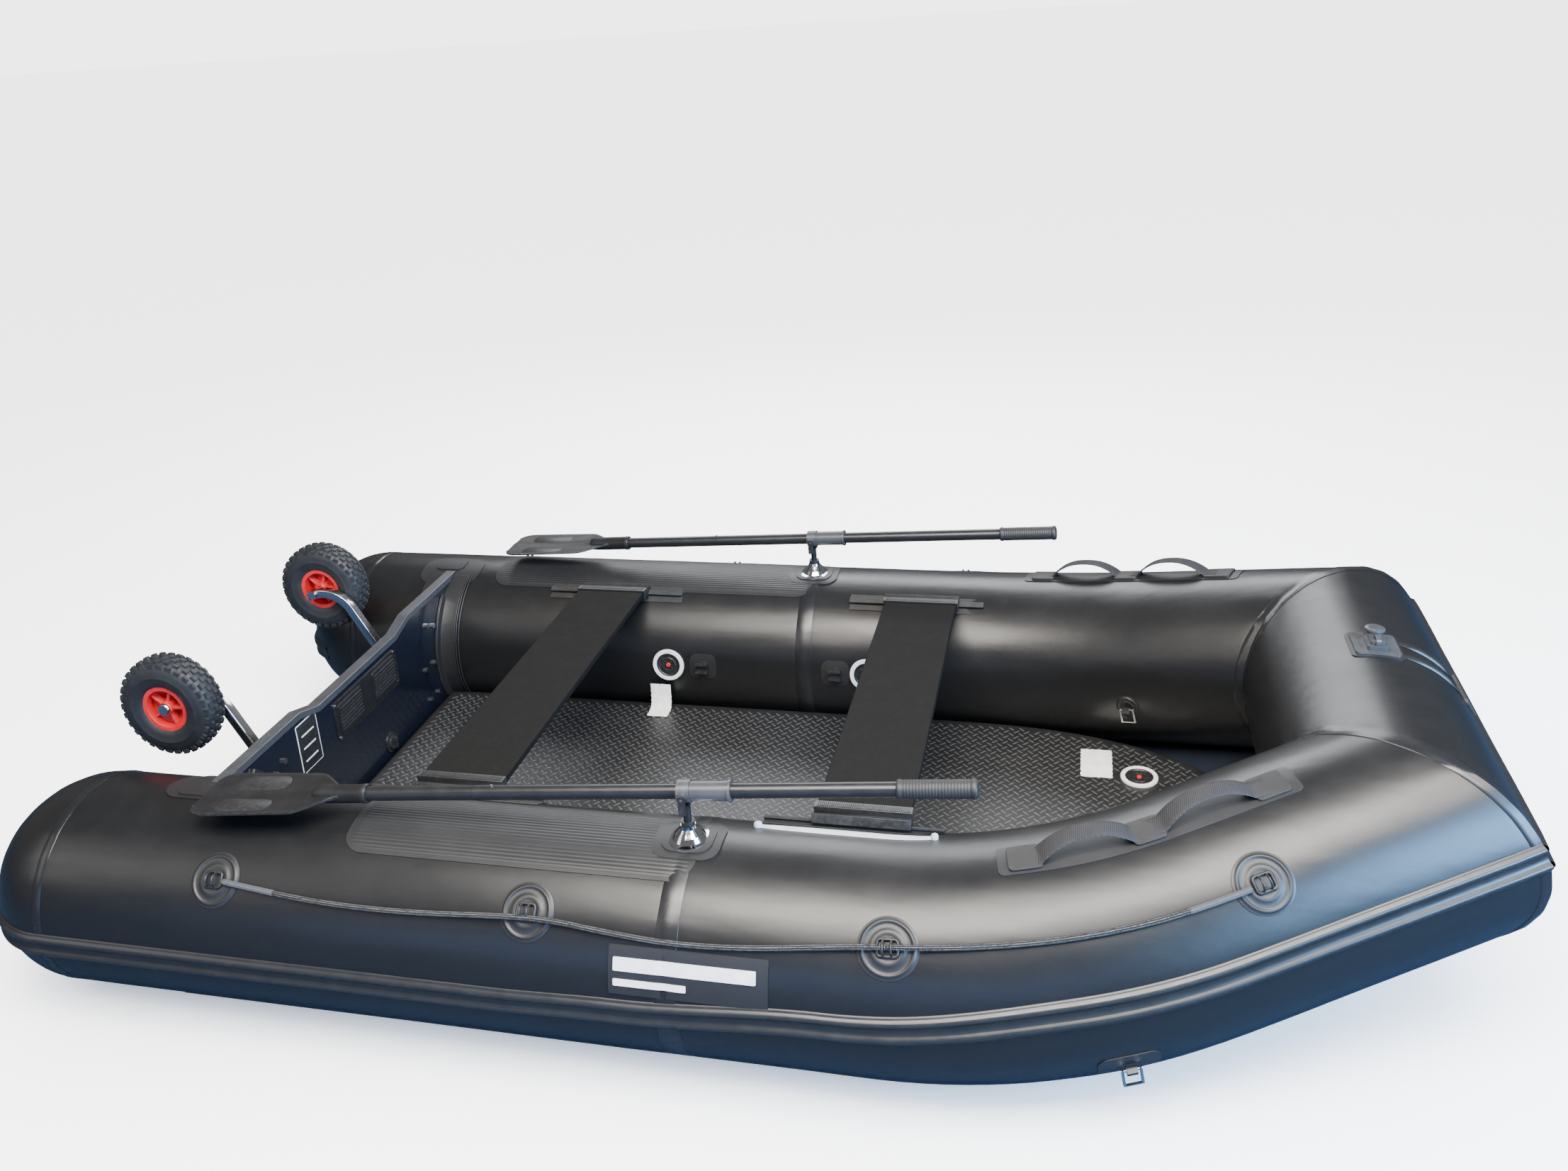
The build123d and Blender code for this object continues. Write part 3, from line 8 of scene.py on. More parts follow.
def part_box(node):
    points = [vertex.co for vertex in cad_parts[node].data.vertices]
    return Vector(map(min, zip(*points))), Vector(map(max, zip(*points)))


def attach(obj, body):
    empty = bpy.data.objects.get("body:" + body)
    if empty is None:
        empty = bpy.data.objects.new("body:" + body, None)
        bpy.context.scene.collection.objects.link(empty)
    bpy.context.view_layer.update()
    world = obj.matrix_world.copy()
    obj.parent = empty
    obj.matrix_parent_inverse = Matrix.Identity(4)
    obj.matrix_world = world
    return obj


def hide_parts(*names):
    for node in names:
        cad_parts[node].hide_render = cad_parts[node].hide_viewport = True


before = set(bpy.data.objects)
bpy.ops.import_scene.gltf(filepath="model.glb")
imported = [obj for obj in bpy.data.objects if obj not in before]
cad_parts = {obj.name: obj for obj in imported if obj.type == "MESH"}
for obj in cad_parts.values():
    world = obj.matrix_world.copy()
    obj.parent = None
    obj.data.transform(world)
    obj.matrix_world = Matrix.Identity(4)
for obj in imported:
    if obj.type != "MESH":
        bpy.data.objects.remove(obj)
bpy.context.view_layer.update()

# ---- places, worked out from the frame ----------------------------------------------------------

bow_low, bow_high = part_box("bow_tube")
tube_low, tube_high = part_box("port_tube")
base_low, base_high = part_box("rowlock_bases")
TUBE_R = (bow_high.x - bow_low.x) / 2
BOW_X = bow_high.x - TUBE_R
BOW_Z = bow_high.z - TUBE_R
TUBE_Z = tube_low.z + TUBE_R
HALF_SPACING = tube_high.y - TUBE_R
DOME_X = tube_low.x + TUBE_R
ROWLOCK_X = (base_low.x + base_high.x) / 2
SHOULDER = 0.375
SHOULDER_R = 1.355
SHOULDER_TURN = radians(25.6)
SHOULDER_TILT = radians(31.7)
PATCH = 0.002
VALVE_ANGLE = 173

X_AXIS = Vector((1, 0, 0))
Y_AXIS = Vector((0, 1, 0))
Z_AXIS = Vector((0, 0, 1))
INWARD = Vector((0, -cos(SHOULDER_TILT), sin(SHOULDER_TILT)))
BEND_AXIS = X_AXIS.cross(INWARD)


def tube_frame(station):
    """Centre, outboard, up and forward directions of the port tube at a station."""
    if station <= SHOULDER:
        return Vector((ROWLOCK_X + station, HALF_SPACING, TUBE_Z)), Y_AXIS, Z_AXIS, X_AXIS
    along = station - SHOULDER
    turned = min(along / SHOULDER_R, SHOULDER_TURN)
    centre = Vector((ROWLOCK_X + SHOULDER, HALF_SPACING, TUBE_Z))
    centre = centre + X_AXIS * (SHOULDER_R * sin(turned)) + INWARD * (SHOULDER_R * (1 - cos(turned)))
    forward = X_AXIS * cos(turned) + INWARD * sin(turned)
    outboard = Matrix.Rotation(turned, 3, BEND_AXIS) @ Y_AXIS
    centre = centre + forward * max(0, along - SHOULDER_R * SHOULDER_TURN)
    return centre, outboard, forward.cross(outboard), forward


RUN = SHOULDER + SHOULDER_R * SHOULDER_TURN
run_centre, run_out, run_up, run_forward = tube_frame(RUN)
RUN_LENGTH = (BOW_X - run_centre.x) / run_forward.x
CORNER = run_centre + run_forward * RUN_LENGTH
MITRE = (run_forward - Y_AXIS).normalized()
BOW_OUT = run_out - MITRE * (2 * run_out.dot(MITRE))
BOW_UP = (-Y_AXIS).cross(BOW_OUT)
DOME = DOME_X - ROWLOCK_X


def around(outboard, up, angle):
    return outboard * cos(radians(angle)) + up * sin(radians(angle))


def mitre_reach(angle):
    """Distance along the run from the end of the shoulder to the mitre, at this angle."""
    point = run_centre + around(run_out, run_up, angle) * TUBE_R
    return (CORNER - point).dot(MITRE) / run_forward.dot(MITRE)


def swelling(point, seam_distance, angle):
    """The fabric's own unevenness: slow waves, a pinch at a seam and small puckers beside it."""
    waves = 0.0008 * noise.noise(point * 5.0)
    pinch = -0.0014 * exp(-(seam_distance / 0.012) ** 2)
    pucker = 0.0007 * exp(-abs(seam_distance) / 0.035) * sin(radians(angle) * 26)
    return waves + pinch + pucker


def skin(station, angle, height=0.0):
    """Point on the port tube's surface; aft of the dome's base the station runs over the dome."""
    if station < DOME:
        over = (DOME - station) / TUBE_R
        centre, outboard, up, forward = tube_frame(DOME)
        outward = around(outboard, up, angle) * cos(over) - forward * sin(over)
        return centre + outward * (TUBE_R + height + swelling(centre + outward, station - DOME, angle))
    centre, outboard, up, forward = tube_frame(station)
    outward = around(outboard, up, angle)
    seam = min((station - DOME, station, station - RUN - mitre_reach(angle)), key=abs)
    return centre + outward * (TUBE_R + height + swelling(centre + outward, seam, angle))


def bow_skin(share, angle, height=0.0):
    """Point on the bow tube; share runs from 1 at the port mitre to -1 at the starboard one."""
    reach = mitre_reach(angle)
    edge = run_centre + around(run_out, run_up, angle) * TUBE_R + run_forward * reach
    outward = around(BOW_OUT, BOW_UP, angle)
    centre = Vector((BOW_X, edge.y * share, BOW_Z))
    seam = edge.y * (1 - abs(share))
    return centre + outward * (TUBE_R + height + swelling(centre + outward, seam, angle))


# ---- nets of points -----------------------------------------------------------------------------


def net(rows, ring=False, loop=False, caps=False):
    """Points and faces of rows of points; ring joins each row's ends, loop joins the last row."""
    wide = len(rows[0])
    points = [Vector(point) for row in rows for point in row]
    faces = []
    for i in range(len(rows) if loop else len(rows) - 1):
        j = (i + 1) % len(rows)
        for k in range(wide if ring else wide - 1):
            m = (k + 1) % wide
            faces.append((i * wide + k, i * wide + m, j * wide + m, j * wide + k))
    if caps:
        faces.append(tuple(reversed(range(wide))))
        faces.append(tuple(range((len(rows) - 1) * wide, len(rows) * wide)))
    return points, faces


def joined(*shapes):
    points, faces = [], []
    for shape_points, shape_faces in shapes:
        start = len(points)
        points = points + shape_points
        faces = faces + [tuple(i + start for i in face) for face in shape_faces]
    return points, faces


def mirrored(shape):
    points, faces = shape
    return [Vector((p.x, -p.y, p.z)) for p in points], [tuple(reversed(face)) for face in faces]


def both_sides(shape):
    return joined(shape, mirrored(shape))


def for_side(shape, side):
    return shape if side == "port" else mirrored(shape)


def piece(name, shape, material, body="hull", nodes=(), sharp=40, bevel=0.0):
    """A mesh object that rides a body, stands for CAD nodes and takes a slot's finish."""
    points, faces = shape
    mesh = bpy.data.meshes.new(name)
    mesh.from_pydata(points, [], faces)
    work = bmesh.new()
    work.from_mesh(mesh)
    bmesh.ops.remove_doubles(work, verts=work.verts, dist=0.00002)
    bmesh.ops.recalc_face_normals(work, faces=work.faces)
    work.to_mesh(mesh)
    work.free()
    mesh.shade_smooth()
    mesh.set_sharp_from_angle(angle=radians(sharp))
    mesh.materials.append(material)
    made = bpy.data.objects.new(name, mesh)
    bpy.context.scene.collection.objects.link(made)
    if bevel:
        round_edges(made, bevel)
    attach(made, body)
    if nodes:
        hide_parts(*nodes)
    return made


def round_edges(made, width, segments=2):
    edge = made.modifiers.new("rounded edges", "BEVEL")
    edge.width = width
    edge.segments = segments
    edge.limit_method = "ANGLE"
    edge.angle_limit = radians(32)
    edge.use_clamp_overlap = True
    edge.harden_normals = False


def rounded_copy(node, material, body, width=0.001, name=""):
    """The CAD node's own shape with its edges rounded off, as a moulded or cast piece has them."""
    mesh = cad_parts[node].data.copy()
    work = bmesh.new()
    work.from_mesh(mesh)
    bmesh.ops.remove_doubles(work, verts=work.verts, dist=0.00003)
    bmesh.ops.dissolve_limit(work, angle_limit=radians(1.5), verts=work.verts, edges=work.edges)
    bmesh.ops.recalc_face_normals(work, faces=work.faces)
    work.to_mesh(mesh)
    work.free()
    mesh.materials.clear()
    mesh.materials.append(material)
    mesh.shade_smooth()
    mesh.set_sharp_from_angle(angle=radians(32))
    made = bpy.data.objects.new(name or node + "_moulding", mesh)
    bpy.context.scene.collection.objects.link(made)
    round_edges(made, width)
    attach(made, body)
    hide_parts(node)
    return made


# ---- outlines and the places they lie on --------------------------------------------------------


def round_corners(half_long, half_wide, radius, inset=0.0, steps=6):
    """A rounded rectangle, drawn in by inset."""
    a, b = half_long - inset, half_wide - inset
    r = max(min(radius - inset, a, b), 0.0004)
    points = []
    for quarter, (sx, sy) in enumerate(((1, 1), (-1, 1), (-1, -1), (1, -1))):
        for step in range(steps + 1):
            turn = (quarter + step / steps) * pi / 2
            points.append((sx * (a - r) + r * cos(turn), sy * (b - r) + r * sin(turn)))
    return points


def on_skin(station, angle):
    return lambda u, v, h: skin(station + u, angle + degrees(v / TUBE_R), h)


def on_plane(origin, along, normal):
    origin, along, normal = Vector(origin), Vector(along).normalized(), Vector(normal).normalized()
    side = normal.cross(along)
    return lambda u, v, h: origin + along * u + side * v + normal * h


def on_bow(angle):
    """Place on the bow tube's surface over the centre line: u to port, v up and aft."""
    def place(u, v, h):
        turned = radians(angle) + v / TUBE_R
        outward = Vector((cos(turned), 0, sin(turned)))
        return Vector((BOW_X, u, BOW_Z)) + outward * (TUBE_R + h)
    return place


def moulded(place, outline, layers, **sizes):
    """Outlines stacked up: each layer is how far the outline is drawn in and how high it lies."""
    rows = [[place(u, v, height) for u, v in outline(inset=inset, **sizes)] for inset, height in layers]
    shape = net(rows, ring=True)
    shape[1].append(tuple(range((len(rows) - 1) * len(rows[0]), len(rows) * len(rows[0]))))
    return shape


def dish(place, rings, steps=48, phase=0.0):
    """A round piece from rings of (radius, height), centre last or a hole left open."""
    rows = []
    for radius, height in rings:
        turn = [2 * pi * (k + phase) / steps for k in range(steps)]
        rows.append([place(radius * cos(t), radius * sin(t), height) for t in turn])
    return net(rows, ring=True)


def revolved(origin, axis, start, profile, steps=48):
    """Profile points of (radius, distance along the axis), turned about it."""
    origin, axis = Vector(origin), Vector(axis).normalized()
    start = Vector(start).normalized()
    side = axis.cross(start)
    rows = []
    for radius, distance in profile:
        row = []
        for k in range(steps):
            turn = 2 * pi * k / steps
            row.append(origin + axis * distance + (start * cos(turn) + side * sin(turn)) * radius)
        rows.append(row)
    return net(rows, ring=True)


def follow(centres, up):
    """Two directions across a line of points at each of its points, without twist."""
    frames = []
    last_up = Vector(up)
    for k, centre in enumerate(centres):
        ahead = centres[min(k + 1, len(centres) - 1)] - centres[max(k - 1, 0)]
        ahead.normalize()
        last_up = (last_up - ahead * last_up.dot(ahead)).normalized()
        frames.append((centre, ahead.cross(last_up), last_up))
    return frames


def swept(frames, profile, caps=True):
    rows = []
    for centre, side, up in frames:
        rows.append([centre + side * a + up * b for a, b in profile])
    return net(rows, ring=True, caps=caps)


# ---- shader groups ------------------------------------------------------------------------------


def new_group(name, inputs, outputs):
    group = bpy.data.node_groups.new(name, "ShaderNodeTree")
    for label, value in inputs:
        socket = group.interface.new_socket(label, in_out="INPUT", socket_type="NodeSocketFloat")
        socket.default_value = value
    for label in outputs:
        group.interface.new_socket(label, in_out="OUTPUT", socket_type="NodeSocketFloat")
    return group, group.nodes.new("NodeGroupInput"), group.nodes.new("NodeGroupOutput")


def math_node(tree, operation, first, second):
    """A Math node of two inputs, each a number or a socket."""
    node = tree.nodes.new("ShaderNodeMath")
    node.operation = operation
    for socket, value in zip(node.inputs, (first, second)):
        if isinstance(value, (int, float)):
            socket.default_value = value
        else:
            tree.links.new(value, socket)
    return node.outputs[0]


def noise_node(tree, scale, detail=3.0, rough=0.5, vector=None):
    node = tree.nodes.new("ShaderNodeTexNoise")
    node.inputs["Detail"].default_value = detail
    node.inputs["Roughness"].default_value = rough
    if isinstance(scale, (int, float)):
        node.inputs["Scale"].default_value = scale
    else:
        tree.links.new(scale, node.inputs["Scale"])
    if vector is None:
        vector = tree.nodes.new("ShaderNodeTexCoord").outputs["Object"]
    tree.links.new(vector, node.inputs["Vector"])
    return node.outputs["Fac"]


def ramp(tree, value, low, high):
    node = tree.nodes.new("ShaderNodeMapRange")
    node.inputs["From Min"].default_value = low
    node.inputs["From Max"].default_value = high
    tree.links.new(value, node.inputs["Value"])
    return node.outputs["Result"]


def coated_cloth_group():
    """Calendered PVC: a fine pebble over the threads, slow patches of gloss and creases."""
    group, given, out = new_group("coated cloth", [("Grain", 900.0)], ["Height", "Gloss", "Crease"])
    pebble = noise_node(group, given.outputs["Grain"], 4.0, 0.6)
    coords = group.nodes.new("ShaderNodeTexCoord").outputs["Object"]
    threads = group.nodes.new("ShaderNodeTexVoronoi")
    threads.inputs["Scale"].default_value = 420
    group.links.new(coords, threads.inputs["Vector"])
    weave = math_node(group, "MULTIPLY", threads.outputs["Distance"], 0.25)
    group.links.new(math_node(group, "ADD", pebble, weave), out.inputs["Height"])
    group.links.new(ramp(group, noise_node(group, 5.0, 5.0, 0.6), 0.3, 0.72), out.inputs["Gloss"])
    stretch = group.nodes.new("ShaderNodeMapping")
    stretch.inputs["Scale"].default_value = (2.2, 9.0, 9.0)
    stretch.inputs["Rotation"].default_value = (0.4, 0.0, 0.35)
    group.links.new(coords, stretch.inputs["Vector"])
    creases = ramp(group, noise_node(group, 3.0, 2.0, 0.4, stretch.outputs[0]), 0.35, 0.7)
    group.links.new(creases, out.inputs["Crease"])
    return group


def handling_group():
    """Dust that settles on what faces up, and thin scuffs from handling."""
    group, given, out = new_group("handling", [("Dust", 0.5), ("Scuffs", 0.5)], ["Dust", "Scuff"])
    geometry = group.nodes.new("ShaderNodeNewGeometry")
    split = group.nodes.new("ShaderNodeSeparateXYZ")
    group.links.new(geometry.outputs["Normal"], split.inputs[0])
    facing = ramp(group, split.outputs["Z"], 0.25, 1.0)
    cloud = ramp(group, noise_node(group, 14.0, 6.0, 0.65), 0.42, 0.8)
    dust = math_node(group, "MULTIPLY", math_node(group, "MULTIPLY", facing, cloud), given.outputs["Dust"])
    group.links.new(dust, out.inputs["Dust"])
    coords = group.nodes.new("ShaderNodeTexCoord").outputs["Object"]
    stretch = group.nodes.new("ShaderNodeMapping")
    stretch.inputs["Scale"].default_value = (6.0, 60.0, 60.0)
    stretch.inputs["Rotation"].default_value = (0.3, 0.5, 0.8)
    group.links.new(coords, stretch.inputs["Vector"])
    lines = ramp(group, noise_node(group, 4.0, 2.0, 0.5, stretch.outputs[0]), 0.66, 0.74)
    group.links.new(math_node(group, "MULTIPLY", lines, given.outputs["Scuffs"]), out.inputs["Scuff"])
    return group


def edge_wear_group():
    """Wear along convex edges, broken up by noise."""
    group, given, out = new_group("edge wear", [("Amount", 0.5)], ["Wear"])
    geometry = group.nodes.new("ShaderNodeNewGeometry")
    edge = ramp(group, geometry.outputs["Pointiness"], 0.515, 0.57)
    broken = ramp(group, noise_node(group, 120.0, 4.0, 0.6), 0.4, 0.65)
    worn = math_node(group, "MULTIPLY", math_node(group, "MULTIPLY", edge, broken), given.outputs["Amount"])
    group.links.new(worn, out.inputs["Wear"])
    return group


def moulded_grain_group():
    """The fine spark grain of moulded plastic and rubber."""
    group, given, out = new_group("moulded grain", [("Grain", 1500.0)], ["Height", "Mottle"])
    group.links.new(noise_node(group, given.outputs["Grain"], 3.0, 0.7), out.inputs["Height"])
    group.links.new(ramp(group, noise_node(group, 30.0, 4.0, 0.6), 0.3, 0.7), out.inputs["Mottle"])
    return group


CLOTH = coated_cloth_group()
HANDLING = handling_group()
EDGE_WEAR = edge_wear_group()
GRAIN = moulded_grain_group()


def placed(tree, group, **values):
    node = tree.nodes.new("ShaderNodeGroup")
    node.node_tree = group
    for label, value in values.items():
        node.inputs[label].default_value = value
    return node


def mixed(tree, share, first, second):
    """A colour that goes from first to second with share; each is a colour or a socket."""
    node = tree.nodes.new("ShaderNodeMix")
    node.data_type = "RGBA"
    tree.links.new(share, node.inputs["Factor"])
    for label, value in (("A", first), ("B", second)):
        socket = [s for s in node.inputs if s.name == label and s.type == "RGBA"][0]
        if isinstance(value, tuple):
            socket.default_value = value + (1,)
        else:
            tree.links.new(value, socket)
    return [s for s in node.outputs if s.type == "RGBA"][0]


def new_material(name, **sockets):
    made = bpy.data.materials.new(name)
    made.use_nodes = True
    shader = made.node_tree.nodes["Principled BSDF"]
    for label, value in sockets.items():
        shader.inputs[label.replace("_", " ").title().replace("Ior", "IOR")].default_value = value
    return made, made.node_tree, shader


def bumped(tree, shader, height, distance, strength=1.0):
    bump = tree.nodes.new("ShaderNodeBump")
    bump.inputs["Distance"].default_value = distance
    bump.inputs["Strength"].default_value = strength
    tree.links.new(height, bump.inputs["Height"])
    tree.links.new(bump.outputs["Normal"], shader.inputs["Normal"])


def cloth_material(name, colour, light, rough, grain=900.0, dust=0.06, crease=0.35):
    """Coated fabric; light is the colour that dust and scuffs leave."""
    made, tree, shader = new_material(name, specular_ior_level=0.5)
    cloth = placed(tree, CLOTH, Grain=grain)
    marks = placed(tree, HANDLING, Dust=dust, Scuffs=0.05)
    low, high = rough
    gloss = tree.nodes.new("ShaderNodeMapRange")
    gloss.inputs["To Min"].default_value = low
    gloss.inputs["To Max"].default_value = high
    tree.links.new(cloth.outputs["Gloss"], gloss.inputs["Value"])
    rougher = math_node(tree, "MULTIPLY", marks.outputs["Dust"], 0.35)
    tree.links.new(math_node(tree, "ADD", gloss.outputs["Result"], rougher), shader.inputs["Roughness"])
    soiled = math_node(tree, "ADD", marks.outputs["Dust"], marks.outputs["Scuff"])
    tree.links.new(mixed(tree, soiled, colour, light), shader.inputs["Base Color"])
    slow = math_node(tree, "MULTIPLY", cloth.outputs["Crease"], crease * 1.6)
    fine = math_node(tree, "MULTIPLY", cloth.outputs["Height"], 0.35)
    bumped(tree, shader, math_node(tree, "ADD", slow, fine), 0.0004)
    return made


def moulded_material(name, colour, worn, rough, grain=1500.0, depth=0.0001, wear=0.15, dust=0.06, **sockets):
    """Moulded plastic, rubber or paint with worn edges and a little dust."""
    made, tree, shader = new_material(name, **sockets)
    fine = placed(tree, GRAIN, Grain=grain)
    marks = placed(tree, HANDLING, Dust=dust, Scuffs=0.1)
    edge = placed(tree, EDGE_WEAR, Amount=wear)
    low, high = rough
    spread = tree.nodes.new("ShaderNodeMapRange")
    spread.inputs["To Min"].default_value = low
    spread.inputs["To Max"].default_value = high
    tree.links.new(fine.outputs["Mottle"], spread.inputs["Value"])
    tree.links.new(spread.outputs["Result"], shader.inputs["Roughness"])
    shade = tuple(c * 0.8 for c in colour)
    ground = mixed(tree, fine.outputs["Mottle"], shade, colour)
    scuffed = math_node(tree, "ADD", marks.outputs["Scuff"], edge.outputs["Wear"])
    marked = math_node(tree, "ADD", marks.outputs["Dust"], scuffed)
    tree.links.new(mixed(tree, marked, ground, worn), shader.inputs["Base Color"])
    bumped(tree, shader, fine.outputs["Height"], depth)
    return made


def metal_material(name, colour, rough, stretch, depth=0.00004):
    """Bare metal with its grain drawn out along one direction."""
    made, tree, shader = new_material(name, metallic=1.0)
    coords = tree.nodes.new("ShaderNodeTexCoord").outputs["Object"]
    drawn = tree.nodes.new("ShaderNodeMapping")
    drawn.inputs["Scale"].default_value = stretch
    tree.links.new(coords, drawn.inputs["Vector"])
    lines = noise_node(tree, 8.0, 5.0, 0.6, drawn.outputs[0])
    low, high = rough
    spread = tree.nodes.new("ShaderNodeMapRange")
    spread.inputs["To Min"].default_value = low
    spread.inputs["To Max"].default_value = high
    tree.links.new(lines, spread.inputs["Value"])
    tree.links.new(spread.outputs["Result"], shader.inputs["Roughness"])
    marks = placed(tree, HANDLING, Dust=0.15, Scuffs=0.5)
    dull = tuple(c * 0.6 for c in colour)
    tree.links.new(mixed(tree, marks.outputs["Scuff"], colour, dull), shader.inputs["Base Color"])
    bumped(tree, shader, lines, depth)
    return made


def webbing_material():
    """Woven strap: bars across it and ribs along it."""
    made, tree, shader = new_material("webbing", specular_ior_level=0.3)
    coords = tree.nodes.new("ShaderNodeTexCoord").outputs["Object"]
    bars = tree.nodes.new("ShaderNodeTexWave")
    bars.inputs["Scale"].default_value = 90
    bars.inputs["Distortion"].default_value = 1.2
    tree.links.new(coords, bars.inputs["Vector"])
    ribs = tree.nodes.new("ShaderNodeTexWave")
    ribs.bands_direction = "Y"
    ribs.inputs["Scale"].default_value = 110
    tree.links.new(coords, ribs.inputs["Vector"])
    weave = math_node(tree, "MULTIPLY", bars.outputs["Fac"], ribs.outputs["Fac"])
    yarn = mixed(tree, weave, (0.012, 0.012, 0.014), (0.045, 0.045, 0.05))
    tree.links.new(yarn, shader.inputs["Base Color"])
    fuzz = placed(tree, GRAIN, Grain=2200.0)
    spread = tree.nodes.new("ShaderNodeMapRange")
    spread.inputs["To Min"].default_value = 0.6
    spread.inputs["To Max"].default_value = 0.85
    tree.links.new(fuzz.outputs["Mottle"], spread.inputs["Value"])
    tree.links.new(spread.outputs["Result"], shader.inputs["Roughness"])
    bumped(tree, shader, weave, 0.0006)
    return made


def rope_material(name, dark, light, share):
    """Braided cord: flecks of light yarn that follow the strands, read from the rope's own map."""
    made, tree, shader = new_material(name, specular_ior_level=0.35)
    where = tree.nodes.new("ShaderNodeUVMap")
    where.uv_map = "lay"
    split = tree.nodes.new("ShaderNodeSeparateXYZ")
    tree.links.new(where.outputs["UV"], split.inputs[0])
    along = math_node(tree, "MULTIPLY", split.outputs["X"], 2 * pi)
    round_it = math_node(tree, "MULTIPLY", split.outputs["Y"], 2 * pi * 4)
    one_way = math_node(tree, "SINE", math_node(tree, "ADD", along, round_it), 0.0)
    other_way = math_node(tree, "SINE", math_node(tree, "SUBTRACT", along, round_it), 0.0)
    checks = math_node(tree, "MULTIPLY", one_way, other_way)
    uneven = math_node(tree, "ADD", checks, noise_node(tree, 260.0, 2.0))
    fleck = ramp(tree, uneven, 1.35 - share, 1.5 - share)
    tree.links.new(mixed(tree, fleck, dark, light), shader.inputs["Base Color"])
    fuzz = placed(tree, GRAIN, Grain=2600.0)
    spread = tree.nodes.new("ShaderNodeMapRange")
    spread.inputs["To Min"].default_value = 0.55
    spread.inputs["To Max"].default_value = 0.8
    tree.links.new(fuzz.outputs["Mottle"], spread.inputs["Value"])
    tree.links.new(spread.outputs["Result"], shader.inputs["Roughness"])
    bumped(tree, shader, math_node(tree, "ADD", checks, fuzz.outputs["Height"]), 0.0005)
    return made


TUBE_CLOTH = cloth_material("tube fabric", (0.006, 0.0062, 0.0068), (0.05, 0.05, 0.052), (0.30, 0.37))
PATCH_CLOTH = cloth_material("patch fabric", (0.011, 0.0112, 0.012), (0.06, 0.06, 0.06), (0.40, 0.5), 1400.0)
TAPE_CLOTH = cloth_material("seam tape", (0.008, 0.0084, 0.0095), (0.06, 0.06, 0.06), (0.24, 0.32), 1100.0)
BOTTOM_CLOTH = cloth_material("bottom fabric", (0.010, 0.014, 0.022), (0.08, 0.09, 0.10), (0.32, 0.44))
DECK_CLOTH = cloth_material(
    "deck fabric", (0.010, 0.0105, 0.0115), (0.09, 0.09, 0.09), (0.42, 0.52), 1200.0, 0.08)
TREAD_CLOTH = cloth_material(
    "deck tread", (0.050, 0.051, 0.054), (0.12, 0.12, 0.12), (0.24, 0.32), 1200.0, 0.05)
STRAKE_RUBBER = moulded_material(
    "strake rubber", (0.012, 0.0125, 0.0135), (0.06, 0.06, 0.06), (0.28, 0.38), wear=0.1)
BOARD_PAINT = moulded_material(
    "transom paint", (0.005, 0.007, 0.014), (0.05, 0.05, 0.055), (0.1, 0.2), 700.0, 0.00006,
    coat_weight=0.6, coat_roughness=0.08)
BLACK_PLASTIC = moulded_material("black plastic", (0.010, 0.010, 0.011), (0.09, 0.09, 0.09), (0.34, 0.46))
RED_PLASTIC = moulded_material("red plastic", (0.52, 0.008, 0.012), (0.6, 0.2, 0.18), (0.28, 0.4))
WHITE_PLASTIC = moulded_material("white plastic", (0.72, 0.73, 0.74), (0.5, 0.5, 0.48), (0.3, 0.45))
TYRE_RUBBER = moulded_material(
    "tyre rubber", (0.011, 0.012, 0.015), (0.08, 0.08, 0.08), (0.5, 0.68), 800.0, 0.0002)
BLACK_RUBBER = moulded_material(
    "black rubber", (0.011, 0.011, 0.0115), (0.07, 0.07, 0.07), (0.5, 0.65), 900.0, 0.0002)
STEEL = metal_material("polished steel", (0.6, 0.6, 0.62), (0.12, 0.3), (3, 80, 80))
CHROME = metal_material("chrome", (0.62, 0.63, 0.65), (0.05, 0.14), (40, 40, 90), 0.00002)
SEAT_BOARD = moulded_material(
    "seat board", (0.006, 0.0058, 0.0056), (0.015, 0.0145, 0.014), (0.74, 0.86), 600.0, 0.0002,
    specular_ior_level=0.1)
OAR_ALLOY = moulded_material(
    "black anodised alloy", (0.010, 0.010, 0.011), (0.08, 0.08, 0.08), (0.28, 0.38), wear=0.0)
WEBBING = webbing_material()
ROPE = rope_material("braided rope", (0.008, 0.008, 0.009), (0.5, 0.5, 0.48), 0.1)
ROPE_END = rope_material("whipped rope end", (0.07, 0.072, 0.078), (0.2, 0.2, 0.2), 0.1)
PRINT_WHITE = moulded_material("white print", (0.72, 0.73, 0.74), (0.5, 0.5, 0.5), (0.4, 0.5), wear=0.0)
TAG_CLOTH = moulded_material("tag felt", (0.8, 0.81, 0.8), (0.6, 0.6, 0.58), (0.85, 0.95), 400.0, 0.0012, 0.0)
TRIM_PLASTIC = moulded_material("trim plastic", (0.035, 0.038, 0.044), (0.12, 0.12, 0.12), (0.3, 0.42))
CLEAT_PLASTIC = moulded_material("cleat plastic", (0.035, 0.039, 0.044), (0.2, 0.2, 0.2), (0.3, 0.45))
COLLAR_PLASTIC = moulded_material("collar plastic", (0.042, 0.044, 0.048), (0.15, 0.15, 0.15), (0.3, 0.42))
BLADE_PLASTIC = moulded_material(
    "blade plastic", (0.010, 0.010, 0.011), (0.06, 0.06, 0.06), (0.4, 0.5), specular_ior_level=0.3)
PANEL_PLASTIC = moulded_material(
    "blade panel", (0.014, 0.014, 0.015), (0.1, 0.1, 0.1), (0.4, 0.5), specular_ior_level=0.3)

# ---- camera, light and floor --------------------------------------------------------------------


CAMERA_PLACE = (0.7686, -2.6739, 1.9830)
CAMERA_YAW, CAMERA_PITCH, CAMERA_ROLL = 13.87, 17.84, -3.815      # degrees
CAMERA_LENS = 29.32                                              # mm


